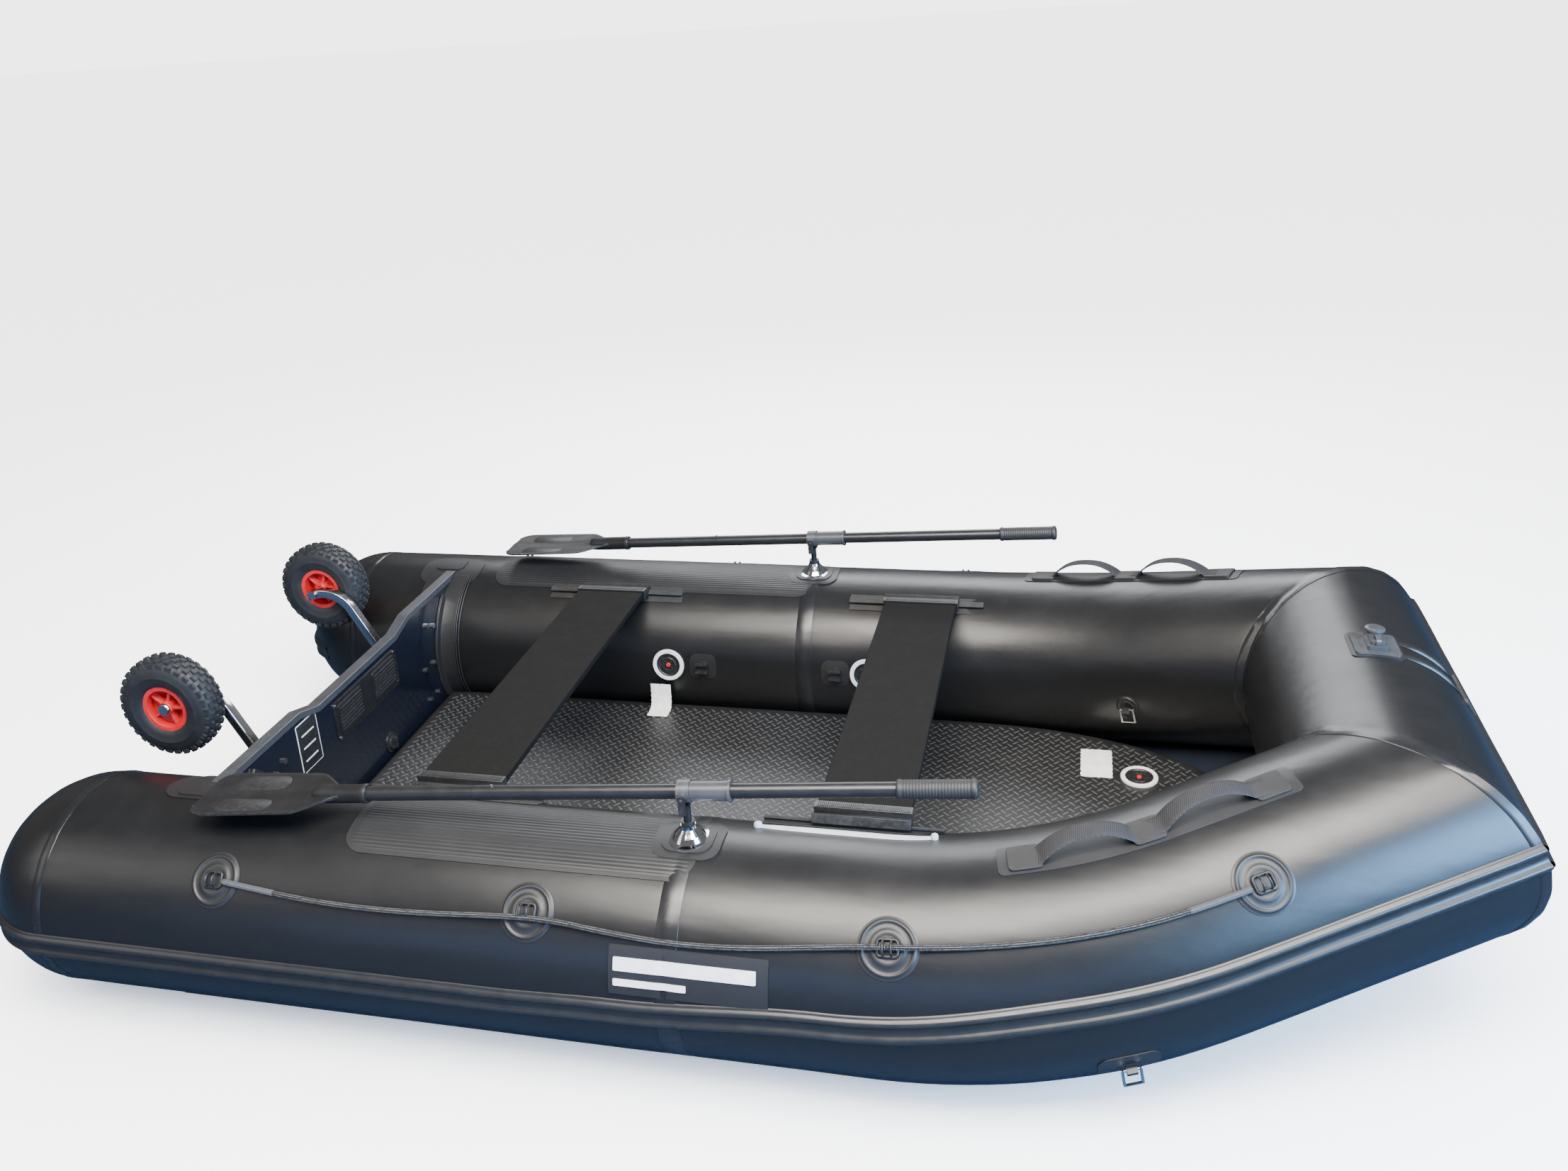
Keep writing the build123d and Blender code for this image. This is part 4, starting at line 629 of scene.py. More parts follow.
def add_camera():
    yaw, pitch, roll = radians(CAMERA_YAW), radians(CAMERA_PITCH), radians(CAMERA_ROLL)
    ahead = Vector((-sin(yaw) * cos(pitch), cos(yaw) * cos(pitch), -sin(pitch)))
    level = Vector((cos(yaw), sin(yaw), 0))
    upward = level.cross(ahead)
    right = level * cos(roll) + upward * sin(roll)
    top = upward * cos(roll) - level * sin(roll)
    data = bpy.data.cameras.new("camera")
    data.lens = CAMERA_LENS
    data.sensor_width = 36
    data.shift_y = -0.0994
    data.clip_start = 0.02
    camera = bpy.data.objects.new("camera", data)
    turn = Matrix((right, top, -ahead)).transposed().to_4x4()
    camera.matrix_world = Matrix.Translation(CAMERA_PLACE) @ turn
    bpy.context.scene.collection.objects.link(camera)
    bpy.context.scene.camera = camera


def add_light(name, place, target, size, power, colour):
    data = bpy.data.lights.new(name, "AREA")
    data.shape = "RECTANGLE"
    data.size, data.size_y = size
    data.energy = power
    data.color = colour
    light = bpy.data.objects.new(name, data)
    light.location = place
    light.rotation_euler = (Vector(target) - Vector(place)).to_track_quat("-Z", "Y").to_euler()
    bpy.context.scene.collection.objects.link(light)


def by_ray(tree, seen, glossy, other):
    """A strength that differs between what is seen, what is mirrored and what lights the rest."""
    rays = tree.nodes.new("ShaderNodeLightPath")
    mirrored_part = math_node(tree, "MULTIPLY", rays.outputs["Is Glossy Ray"], glossy - other)
    seen_part = math_node(tree, "MULTIPLY", rays.outputs["Is Camera Ray"], seen - other)
    return math_node(tree, "ADD", math_node(tree, "ADD", mirrored_part, seen_part), other)


def add_studio():
    """White paper that runs to the horizon, a long soft box over the boat and smaller ones round it. The
    paper glows for the camera, darkened round the boat by a painted contact shadow, and is painted dark blue
    where the tubes mirror it.
    """
    world = bpy.data.worlds.new("studio")
    world.use_nodes = True
    backdrop = world.node_tree.nodes["Background"]
    backdrop.inputs["Color"].default_value = (1.0, 1.0, 1.0, 1)
    world.node_tree.links.new(by_ray(world.node_tree, 4.0, 0.2, 0.5), backdrop.inputs["Strength"])
    bpy.context.scene.world = world
    add_light("overhead", (0.8, -1.7, 3.3), (0.5, -0.5, 0.2), (3.8, 1.5), 560, (1.0, 0.94, 0.86))
    add_light("bow blue", (4.2, -2.4, 1.7), (1.2, -0.3, 0.3), (2.4, 2.0), 700, (0.3, 0.58, 1.0))
    add_light("side blue", (-0.2, -5.0, 0.9), (0, -0.6, 0.25), (6.0, 1.0), 60, (0.24, 0.44, 1.0))
    add_light("stern fill", (-3.6, -2.6, 2.4), (-1.0, 0, 0.3), (1.8, 1.8), 25, (1.0, 0.97, 0.94))
    add_light("far rim", (-0.4, 3.6, 2.8), (0, 0.3, 0.3), (4.2, 1.2), 180, (0.94, 0.97, 1.0))
    half = 400.0
    floor_mesh = bpy.data.meshes.new("floor")
    corners = [(-half, -half, 0), (half, -half, 0), (half, half, 0), (-half, half, 0)]
    floor_mesh.from_pydata(corners, [], [(0, 1, 2, 3)])
    made, tree, shader = new_material("floor paper", roughness=0.9, specular_ior_level=0.1)
    shader.inputs["Emission Color"].default_value = (1.0, 1.0, 1.0, 1)
    # Painted contact shadow: the floor's glow seen by the camera is darkened by ambient occlusion near the
    # boat.
    painted_contact_shadow = tree.nodes.new("ShaderNodeAmbientOcclusion")
    painted_contact_shadow.samples = 8
    painted_contact_shadow.inputs["Distance"].default_value = 0.7
    glow_with_painted_shadow = math_node(tree, "MULTIPLY", by_ray(tree, 3.2, 0.0, 0.0), painted_contact_shadow.outputs["AO"])
    tree.links.new(glow_with_painted_shadow, shader.inputs["Emission Strength"])
    cloud = ramp(tree, noise_node(tree, 1.2, 3.0), 0.2, 0.8)
    paper = mixed(tree, cloud, (0.86, 0.86, 0.86), (0.88, 0.88, 0.88))
    # Painted reflection: in glossy rays the floor turns dark blue, so the tubes' lower sides mirror a painted
    # dark blue, not white paper.
    painted_reflection_mask = by_ray(tree, 0.0, 1.0, 0.0)
    tree.links.new(mixed(tree, painted_reflection_mask, paper, (0.03, 0.06, 0.12)), shader.inputs["Base Color"])
    floor_mesh.materials.append(made)
    floor = bpy.data.objects.new("floor", floor_mesh)
    bpy.context.scene.collection.objects.link(floor)


# ---- lifelines ----------------------------------------------------------------------------------

LIFELINE_R = 0.005
LIFELINE_END = 0.12
# The route: station, angle round the tube, height above the fabric.
LIFELINE_ROUTE = [
    (-0.949, 41.5, 0.010), (-0.850, 39, 0.008), (-0.720, 36.5, 0.008), (-0.590, 36, 0.008),
    (-0.465, 37, 0.009), (-0.340, 39, 0.016), (-0.230, 39.5, 0.016), (-0.115, 36.5, 0.008),
    (0.010, 34.5, 0.008), (0.135, 35.5, 0.008), (0.255, 38.5, 0.009), (0.365, 41.5, 0.016),
    (0.465, 42.5, 0.016), (0.575, 42.8, 0.008), (0.690, 42.4, 0.008), (0.810, 41.8, 0.008),
    (0.930, 41.2, 0.008), (1.046, 41.5, 0.010),
]


def route_point(station, angle, height):
    centre, outboard, up = tube_frame(station)[:3]
    return centre + around(outboard, up, angle) * (TUBE_R + height)


def nurbs_points(route):
    """Points along the smooth line that a route's points control."""
    curve = bpy.data.curves.new("route", "CURVE")
    curve.dimensions = "3D"
    curve.resolution_u = 24
    spline = curve.splines.new("NURBS")
    spline.points.add(len(route) - 1)
    for point, place in zip(spline.points, route):
        point.co = (*place, 1)
    spline.order_u = 3
    spline.use_endpoint_u = True
    holder = bpy.data.objects.new("route", curve)
    mesh = bpy.data.meshes.new_from_object(holder)
    points = [vertex.co.copy() for vertex in mesh.vertices]
    bpy.data.objects.remove(holder)
    return points


def measured(points):
    """Distances from the first point to each point along the line."""
    run = [0.0]
    for before, here in zip(points, points[1:]):
        run.append(run[-1] + (here - before).length)
    return run


def even_points(points, pitch):
    run = measured(points)
    count = max(2, int(round(run[-1] / pitch)))
    spaced = []
    k = 0
    for step in range(count + 1):
        wanted = run[-1] * step / count
        while k < len(run) - 2 and run[k + 1] < wanted:
            k += 1
        share = (wanted - run[k]) / (run[k + 1] - run[k])
        spaced.append(points[k].lerp(points[k + 1], share))
    return spaced


def braided_tube(name, centres, radius, material, strand=0.006, depth=0.07, steps=14):
    """A rope's own surface, with the braid's bumps, and a map that counts its strands."""
    frames = follow(centres, (0, 0, 1))
    run = measured(centres)
    rows = []
    for (centre, side, up), length in zip(frames, run):
        row = []
        for k in range(steps):
            turn = 2 * pi * k / steps
            lay = 2 * pi * length / strand
            bump = 1 + depth * sin(lay + 4 * turn) * sin(lay - 4 * turn)
            row.append(centre + (side * cos(turn) + up * sin(turn)) * (radius * bump))
        rows.append(row)
    points, faces = net(rows, ring=True, caps=True)
    mesh = bpy.data.meshes.new(name)
    mesh.from_pydata(points, [], faces)
    lay_map = mesh.uv_layers.new(name="lay")
    for face in mesh.polygons:
        first = min(mesh.loops[i].vertex_index % steps for i in face.loop_indices)
        for i in face.loop_indices:
            index = mesh.loops[i].vertex_index
            turn = index % steps
            if first == 0 and turn == steps - 1 and len(face.loop_indices) == 4:
                turn = -1
            lay_map.data[i].uv = (run[index // steps] / strand, turn / steps)
    mesh.shade_smooth()
    mesh.materials.append(material)
    made = bpy.data.objects.new(name, mesh)
    bpy.context.scene.collection.objects.link(made)
    return made


def add_lifelines():
    """Each side's grab line, one braided cord through four rings, with whipped ends."""
    port_route = [route_point(*place) for place in LIFELINE_ROUTE]
    for side in ("port", "starboard"):
        flip = 1 if side == "port" else -1
        line = nurbs_points([Vector((p.x, flip * p.y, p.z)) for p in port_route])
        centres = even_points(line, 0.0016)
        rope = braided_tube(f"{side}_grab_line", centres, LIFELINE_R, ROPE)
        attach(rope, "hull")
        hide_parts(f"{side}_lifeline")
        run = measured(centres)
        for label, part in (
            ("aft", [p for p, d in zip(centres, run) if d < LIFELINE_END]),
            ("fore", [p for p, d in zip(centres, run) if d > run[-1] - LIFELINE_END]),
        ):
            part = [part[0]] + part[4:-4:4] + [part[-1]]
            name = f"{side}_{label}_line_sleeve"
            sleeve = braided_tube(name, part, LIFELINE_R * 1.16, ROPE_END, 0.0022, 0.02)
            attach(sleeve, "hull")
        path = [tuple(p) for p in centres[::6] + [centres[-1]]]
        tuple(centres[0])


# ---- tubes --------------------------------------------------------------------------------------

ROUND = 96                  # points round a tube


def side_tube():
    """The port tube from the dome's tip to the mitre."""
    angles = [360 * k / ROUND for k in range(ROUND)]
    rows = []
    for step in range(1, 25):
        over = pi / 2 * (1 - step / 24)
        rows.append([skin(DOME - TUBE_R * over, angle) for angle in angles])
    stations = [DOME + 0.006, DOME + 0.014, DOME + 0.03, DOME + 0.06]
    count = 44
    stations += [DOME + 0.06 + (-0.03 - DOME - 0.06) * k / count for k in range(1, count + 1)]
    stations += [-0.014, -0.006, 0, 0.006, 0.014, 0.03]
    count = 46
    stations += [0.03 + (RUN - 0.03) * k / count for k in range(1, count + 1)]
    for station in stations:
        rows.append([skin(station, angle) for angle in angles])
    for share in (0.12, 0.25, 0.4, 0.55, 0.68, 0.78, 0.86, 0.91, 0.95, 0.97, 0.985, 1.0):
        rows.append([skin(RUN + mitre_reach(angle) * share, angle) for angle in angles])
    tip = skin(DOME - TUBE_R * pi / 2, 0)
    points, faces = net(rows, ring=True)
    faces += [(len(points), (k + 1) % ROUND, k) for k in range(ROUND)]
    return points + [tip], faces


def bow_tube_shape():
    angles = [360 * k / ROUND for k in range(ROUND)]
    shares = [1, 0.97, 0.94, 0.9, 0.84, 0.76]
    shares += [0.7 - 1.4 * k / 16 for k in range(17)]
    shares += [-0.76, -0.84, -0.9, -0.94, -0.97, -1]
    return net([[bow_skin(share, angle) for angle in angles] for share in shares], ring=True)


def band_round(stations, heights, angles):
    """A strip of tape round the tube: its cross-section's stations and heights."""
    rows = [[skin(station, angle, height) for station, height in zip(stations, heights)] for angle in angles]
    return net(rows, ring=True, loop=True)


def mitre_tape():
    """Tape over the seam where the side tube meets the bow tube."""
    half = 0.022
    angles = [360 * k / ROUND for k in range(ROUND)]
    rows = []
    for angle in angles:
        reach = RUN + mitre_reach(angle)
        edge = skin(reach, angle, 0.0025)
        across = max(abs(edge.y), 0.05)
        share = 1 - half / across
        rows.append([
            skin(reach - half, angle, 0.0002), skin(reach - half + 0.002, angle, 0.0016),
            skin(reach - half / 2, angle, 0.0018), edge,
            bow_skin(1 - half / across / 2, angle, 0.0018),
            bow_skin(share + 0.002 / across, angle, 0.0016), bow_skin(share, angle, 0.0002),
        ])
    return net(rows, loop=True)


def add_tubes():
    tube = side_tube()
    ring_angles = [360 * k / ROUND for k in range(ROUND)]
    for side in ("port", "starboard"):
        piece(f"{side}_tube_fabric", for_side(tube, side), TUBE_CLOTH,
              nodes=[f"{side}_tube"])
    piece("bow_tube_fabric", bow_tube_shape(), TUBE_CLOTH, nodes=["bow_tube"])
    piece("bow_seam_tapes", both_sides(mitre_tape()), TAPE_CLOTH)
    tapes = []
    for station, half in ((0.0, 0.022), (DOME, 0.011)):
        places = [station - half, station - half + 0.002, station + half - 0.002, station + half, station]
        heights = [0.0001, 0.0014, 0.0014, 0.0001, -0.001]
        tapes.append(band_round(places, heights, ring_angles))
    piece("tube_seam_tapes", both_sides(joined(*tapes)), TAPE_CLOTH)


# ---- rub strake ---------------------------------------------------------------------------------

# Height over the fabric across the strake, by share of its half width.
STRAKE_PROFILE = [
    (-1.0, 0.0), (-0.97, 0.0022), (-0.86, 0.003), (-0.78, 0.005), (-0.70, 0.0082), (-0.60, 0.0098),
    (-0.48, 0.0098), (-0.38, 0.0082), (-0.30, 0.005), (-0.2, 0.0032), (0.0, 0.0028), (0.2, 0.0032),
    (0.30, 0.005), (0.38, 0.0082), (0.48, 0.0098), (0.60, 0.0098), (0.70, 0.0082), (0.78, 0.005),
    (0.86, 0.003), (0.97, 0.0022), (1.0, 0.0),
]
STRAKE_HALF = 7.5           # degrees
STRAKE_LEVEL = [(-9.0, -4.0), (-0.36, -4.0), (-0.1, -2.5), (0.3, 3.0), (0.7, 10.0), (1.1, 9.0), (9.0, 9.0)]


def strake_angle(station):
    """The strake climbs round the tube a little as it goes forward."""
    for (s0, a0), (s1, a1) in zip(STRAKE_LEVEL, STRAKE_LEVEL[1:]):
        if station <= s1:
            share = max(0.0, (station - s0) / (s1 - s0))
            return a0 + (a1 - a0) * share * share * (3 - 2 * share)
    return STRAKE_LEVEL[-1][1]


def add_rub_strake():
    rows = []
    middle = strake_angle(DOME)
    for step in range(40):
        turn = radians(150 * (1 - step / 40))
        outward = Y_AXIS * cos(turn) - X_AXIS * sin(turn)
        centre = Vector((DOME_X, HALF_SPACING, TUBE_Z))
        fade = min(1.0, 0.15 + step / 5)
        row = []
        for share, height in STRAKE_PROFILE:
            lean = radians(middle + share * STRAKE_HALF)
            row.append(centre + (outward * cos(lean) + Z_AXIS * sin(lean)) * (TUBE_R + height * fade))
        rows.append(row)
    count = 110
    for step in range(count + 1):
        station = DOME + (RUN - DOME) * step / count
        middle = strake_angle(station)
        rows.append([skin(station, middle + share * STRAKE_HALF, height) for share, height in STRAKE_PROFILE])
    for step in range(1, 11):
        row = []
        for share, height in STRAKE_PROFILE:
            angle = strake_angle(RUN + RUN_LENGTH * step / 10) + share * STRAKE_HALF
            row.append(skin(RUN + mitre_reach(angle) * step / 10, angle, height))
        rows.append(row)
    middle = strake_angle(RUN + RUN_LENGTH)
    bow_rows = []
    for step in range(25):
        share_y = 1 - step / 12
        row = [bow_skin(share_y, middle + share * STRAKE_HALF, height) for share, height in STRAKE_PROFILE]
        bow_rows.append(row)
    shape = joined(both_sides(net(rows)), net(bow_rows))
    piece("rubbing_strake", shape, STRAKE_RUBBER, nodes=["rub_strake"], sharp=60)


# ---- bottom, keel and deck ----------------------------------------------------------------------

FLAP_LOW, FLAP_HIGH = -115, -48
FABRIC = 0.0015


def keel_line(x):
    """Height of the keel: on the ground as far as the shoulder, then up to the bow tube."""
    ahead = max(0.0, (x - ROWLOCK_X - SHOULDER) / (BOW_X - ROWLOCK_X - SHOULDER))
    return 0.0005 + 0.17 * ahead ** 3


def add_bottom():
    transom_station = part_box("transom_board")[0].x - ROWLOCK_X
    stations = [transom_station + (RUN - transom_station) * k / 60 for k in range(61)]
    columns = 14
    rows = []
    edge_rows = []
    for step in range(81):
        if step <= 60:
            reach = lambda angle, step=step: stations[step]
        else:
            reach = lambda angle, step=step: RUN + mitre_reach(angle) * (step - 60) / 20
        row = []
        for k in range(9):
            angle = FLAP_HIGH + (FLAP_LOW - FLAP_HIGH) * k / 8
            row.append(skin(reach(angle), angle, FABRIC))
        edge = row[-1]
        keel = keel_line(edge.x)
        for k in range(1, columns + 1):
            share = k / columns
            y = edge.y * (1 - share)
            rounded = (1 - share) ** 1.15
            row.append(Vector((edge.x, y, keel + (edge.z - keel) * rounded)))
        rows.append(row)
        edge_rows.append([row[0], skin(reach(FLAP_HIGH), FLAP_HIGH + 0.6, 0.0001)])
    port = joined(net(rows), net(edge_rows))
    across_rows = []
    for step in range(25):
        share = 1 - step / 12
        angles = [FLAP_HIGH + (FLAP_LOW - FLAP_HIGH) * k / 8 for k in range(9)]
        across_rows.append([bow_skin(share, angle, FABRIC) for angle in [FLAP_HIGH + 0.6] + angles])
    piece("bottom_fabric", joined(both_sides(port), net(across_rows)), BOTTOM_CLOTH,
          nodes=["hull_bottom"])


def deck_half_width(x, high):
    """Half the deck's width at x: parallel sides, then a round nose."""
    widest = high.y
    bend_x = ROWLOCK_X + SHOULDER + 0.02
    if x <= bend_x:
        return widest
    share = min(1.0, (x - bend_x) / (high.x - bend_x))
    return widest * sqrt(max(0.0, 1 - share ** 2.6))


def deck_slab(low, high):
    """The air deck as one slab with fat round edges, its rim held inside the CAD slab."""
    edge_r = 0.02
    steps = 60
    xs = [low.x + edge_r + (high.x - low.x - 2 * edge_r) * sin(pi / 2 * k / steps) for k in range(steps + 1)]
    sides = []
    for x in xs:
        sides.append((x, max(0.0, deck_half_width(x + 0.6 * edge_r, high) - edge_r)))
    outline = sides + [(x, -y) for x, y in reversed(sides[:-1])]
    rows = []
    for step in range(9):
        turn = pi * step / 8
        drop = edge_r * sin(turn)
        z = low.z + edge_r * (1 - cos(turn)) if step <= 4 else high.z - edge_r * (1 + cos(turn))
        row = []
        for k, (x, y) in enumerate(outline):
            before, after = outline[k - 1], outline[(k + 1) % len(outline)]
            along = Vector((after[0] - before[0], after[1] - before[1], 0)).normalized()
            out = Vector((-along.y, along.x, 0))
            row.append(Vector((x, y, z)) + out * drop)
        rows.append(row)
    return net(rows, ring=True, caps=True)


def tread_bars(low, high, valve, valve_r):
    """Short raised bars in a herringbone over the deck's top."""
    pitch = 0.027
    length, width, rise = 0.0185, 0.0058, 0.0013
    margin = 0.022
    points, faces = [], []
    columns = int((high.x - low.x) / pitch)
    for i in range(columns):
        x = low.x + margin + (i + 0.5) * pitch
        reach = deck_half_width(x + 0.02, high) - margin - 0.008
        rows = int(reach / pitch)
        for j in range(-rows, rows + 1):
            y = j * pitch
            for shift, lean in ((0, 1), (0.5, -1)):
                centre = Vector((x + shift * pitch, y + shift * pitch, high.z + 0.0001))
                if (centre.xy - valve.xy).length < valve_r + 0.012 or abs(centre.y) > reach:
                    continue
                turn = lean * pi / 4
                along = Vector((cos(turn), sin(turn), 0))
                side = Vector((-sin(turn), cos(turn), 0))
                start = len(points)
                for a, b, h in (
                    (-1, 0, 0), (-0.5, -1, 0), (0.5, -1, 0), (1, 0, 0), (0.5, 1, 0), (-0.5, 1, 0),
                    (-0.45, 0, rise), (0.45, 0, rise),
                ):
                    level = along * (a * length / 2 * 1.25) + side * (b * width / 2)
                    points.append(centre + level + Z_AXIS * h)
                for face in ((0, 1, 6), (1, 2, 7, 6), (2, 3, 7), (3, 4, 7), (4, 5, 6, 7), (5, 0, 6)):
                    faces.append(tuple(start + index for index in face))
    return points, faces


def add_deck():
    low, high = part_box("air_deck")
    pin_low, pin_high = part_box("deck_valve_pin")
    valve = (pin_low + pin_high) / 2
    piece("deck_slab", deck_slab(low, high), DECK_CLOTH, nodes=["air_deck"], sharp=50)
    piece("deck_tread", tread_bars(low, high, valve, 0.046), TREAD_CLOTH, sharp=60)


# ---- patches glued to the tubes -----------------------------------------------------------------

LIFELINE_STATIONS = (-0.974, -0.284, 0.415, 1.072)
LIFELINE_ANGLE = 42
CLIP_STATIONS = (-0.290, 0.091)
HANDLE_STATIONS = (0.676, 0.926, 1.176)
HANDLE_ANGLE = 84
SIDE_PATCH = (0.045, 20)
INNER_RING = (0.960, 188)
TOW_RING = (0.783, -30)


def rib_height(v, pitch, rise):
    return rise * (0.5 + 0.5 * cos(2 * pi * v / pitch)) ** 0.6


def skin_patch(place, half_long, half_wide, radius, thick=PATCH, pitch=0.0, columns=24, lines=40):
    """A rounded patch that follows the tube, with ribs along it where pitch is given."""
    rows = []
    us = [-half_long * cos(pi * k / lines) for k in range(lines + 1)]
    for index, u in enumerate([us[0]] + us + [us[-1]]):
        over = max(0.0, abs(u) - (half_long - radius))
        wide = half_wide - radius + sqrt(max(0.0, radius ** 2 - over ** 2))
        rim = index in (0, len(us) + 1)
        row = [place(u, -wide, 0.0001)]
        for k in range(columns + 1):
            v = max(-wide, min(wide, -half_wide + 2 * half_wide * k / columns))
            height = thick
            if pitch and abs(v) < wide - 0.012 and abs(u) < half_long - 0.014:
                height = thick + rib_height(v, pitch, 0.0009)
            row.append(place(u, v, 0.0001 if rim else height))
        row.append(place(u, wide, 0.0001))
        rows.append(row)
    return net(rows)


ROUND_PATCH = [
    (0.056, 0.0001), (0.0556, 0.0016), (0.052, 0.0022), (0.0500, 0.0030), (0.0485, 0.0046),
    (0.0465, 0.0054), (0.0445, 0.0046), (0.0430, 0.0030), (0.0410, 0.0024), (0.0340, 0.0026),
    (0.0315, 0.0042), (0.0290, 0.0050), (0.0250, 0.0050), (0.0225, 0.0040), (0.0200, 0.0036),
    (0.0120, 0.0036), (0.0004, 0.0036),
]


def bent_bar(points, radius, closed=False, up=(0, 0, 1), flat=1.0):
    """A round or flattened bar along a line of points."""
    if closed:
        wrapped = points[-1:] + points + points[:1]
        frames = follow(wrapped, up)[1:-1]
    else:
        frames = follow(points, up)
    turns = [2 * pi * k / 10 for k in range(10)]
    rows = [[c + s * (cos(t) * radius) + u * (sin(t) * radius * flat) for t in turns] for c, s, u in frames]
    return net(rows, ring=True, loop=closed, caps=not closed)


def ring_and_bridge(place):
    """A moulded ring on its round patch, with two bridges that the lifeline runs under."""
    loop = [place(u, v, 0.0068) for u, v in round_corners(0.018, 0.014, 0.006)]
    normal = place(0, 0, 1) - place(0, 0, 0)
    shapes = [bent_bar(loop, 0.0031, True, normal)]
    for u in (-0.0075, 0.0075):
        arch = []
        for k in range(17):
            turn = pi * k / 16
            arch.append(place(u, 0.0125 * cos(turn), 0.0060 + 0.0175 * sin(turn)))
        shapes.append(bent_bar(arch, 0.0022, False, place(1, 0, 0) - place(0, 0, 0)))
    return joined(*shapes)


def add_patches():
    rounds = [dish(on_skin(station, LIFELINE_ANGLE), ROUND_PATCH, 56) for station in LIFELINE_STATIONS]
    rounds.append(dish(on_skin(*INNER_RING), [(r * 0.62, h * 0.8) for r, h in ROUND_PATCH], 40))
    piece("round_patches", both_sides(joined(*rounds)), PATCH_CLOTH,
          nodes=["tube_patches"], sharp=60)
    rings = [ring_and_bridge(on_skin(station, LIFELINE_ANGLE)) for station in LIFELINE_STATIONS]
    piece("lifeline_ring_loops", both_sides(joined(*rings)), BLACK_PLASTIC,
          nodes=["lifeline_rings"], sharp=60)
    squares = []
    for station in CLIP_STATIONS:
        squares.append(skin_patch(on_skin(station, VALVE_ANGLE), 0.039, 0.036, 0.022))
        squares.append(skin_patch(on_skin(station, VALVE_ANGLE), 0.029, 0.026, 0.014, 0.0036))
    squares.append(skin_patch(on_skin(*TOW_RING), 0.050, 0.035, 0.020))
    squares.append(skin_patch(on_skin(*SIDE_PATCH), 0.155, 0.046, 0.003, 0.0024))
    squares.append(skin_patch(on_skin(0, 90), 0.070, 0.059, 0.034, 0.0030))
    squares.append(skin_patch(on_skin(0, 90), 0.052, 0.044, 0.030, 0.0052))
    low, high = HANDLE_STATIONS[0], HANDLE_STATIONS[2]
    strip = on_skin((low + high) / 2, HANDLE_ANGLE)
    squares.append(skin_patch(strip, (high - low) / 2 + 0.055, 0.036, 0.012, lines=60))
    piece("square_patches", both_sides(joined(*squares)), PATCH_CLOTH)
    wear = {"starboard": ((-0.345, 87), 0.375, 0.096), "port": ((-0.48, 93), 0.49, 0.1)}
    for side, (where, half_long, half_wide) in wear.items():
        shape = skin_patch(on_skin(*where), half_long, half_wide, 0.05, 0.0018, 0.0085, 108, 60)
        piece(f"{side}_wear_patch", for_side(shape, side), PATCH_CLOTH, sharp=70)
    place = on_skin(*SIDE_PATCH)
    bars = []
    for left, right, v, half in ((-0.145, 0.132, 0.012, 0.0125), (-0.145, -0.002, -0.022, 0.0065)):
        middle = (left + right) / 2
        def bar(u, w, h, middle=middle, v=v):
            return place(middle + u, v + w, h)
        bars.append(skin_patch(bar, (right - left) / 2, half, 0.002, 0.0042))
    piece("side_patch_bars", both_sides(joined(*bars)), PRINT_WHITE)


# ---- carry handles ------------------------------------------------------------------------------


STRAP_SECTION = [
    (-1, 0), (-0.94, 1), (-0.5, 1.25), (0, 1.3), (0.5, 1.25), (0.94, 1), (1, 0), (0.94, -0.2), (-0.94, -0.2),
]


def strap_loop(place, half_long, rise, half_wide, thick):
    """A flat strap between two sewn feet, narrowing a little where a hand takes it."""
    line = [(-half_long - 0.032, 0.0022), (-half_long - 0.015, 0.0024)]
    for k in range(25):
        share = -1 + k / 12
        line.append((half_long * share, 0.0035 + (rise - 0.0035) * (1 - abs(share) ** 2.4)))
    line += [(half_long + 0.015, 0.0024), (half_long + 0.032, 0.0022)]
    rows = []
    for k, (u, h) in enumerate(line):
        before, after = line[max(k - 1, 0)], line[min(k + 1, len(line) - 1)]
        length = sqrt((after[0] - before[0]) ** 2 + (after[1] - before[1]) ** 2)
        nu, nh = -(after[1] - before[1]) / length, (after[0] - before[0]) / length
        narrow = half_wide * (1 - 0.16 * (h / rise) ** 2)
        row = []
        for a, b in STRAP_SECTION:
            row.append(place(u + nu * b * thick, a * narrow, h + nh * b * thick))
        rows.append(row)
    return net(rows, ring=True, caps=True)


def add_carry_handles():
    loops, stitches = [], []
    for first, second in zip(HANDLE_STATIONS, HANDLE_STATIONS[1:]):
        centre, outboard, up, forward = tube_frame((first + second) / 2)
        outward = around(outboard, up, HANDLE_ANGLE)
        place = on_plane(centre + outward * (TUBE_R + PATCH), forward, outward)
        loops.append(strap_loop(place, 0.090, 0.038, 0.023, 0.0024))
    for station in HANDLE_STATIONS:
        place = on_skin(station, HANDLE_ANGLE)
        stitches.append(skin_patch(place, 0.034, 0.030, 0.008, 0.0072, columns=10, lines=12))
    piece("carry_straps", both_sides(joined(*loops)), WEBBING,
          nodes=["carry_handles"], sharp=60)
    piece("carry_strap_pads", both_sides(joined(*stitches)), BLACK_RUBBER,
          bevel=0.0012)


# ---- valves and tags ----------------------------------------------------------------------------


VALVE_STATIONS = {"fore": 0.178, "aft": -0.392}


def valve_places():
    low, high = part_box("deck_valve_pin")
    middle = (low + high) / 2
    places = {"deck": on_plane((middle.x, middle.y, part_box("air_deck")[1].z), X_AXIS, Z_AXIS)}
    for name, station in VALVE_STATIONS.items():
        centre, outboard, up, forward = tube_frame(station)
        outward = around(outboard, up, VALVE_ANGLE)
        places[name] = on_plane(centre + outward * TUBE_R, forward, outward)
    return places


BLOCK_FACES = [(3, 2, 1, 0), (4, 5, 6, 7), (0, 1, 5, 4), (1, 2, 6, 5), (2, 3, 7, 6), (3, 0, 4, 7)]


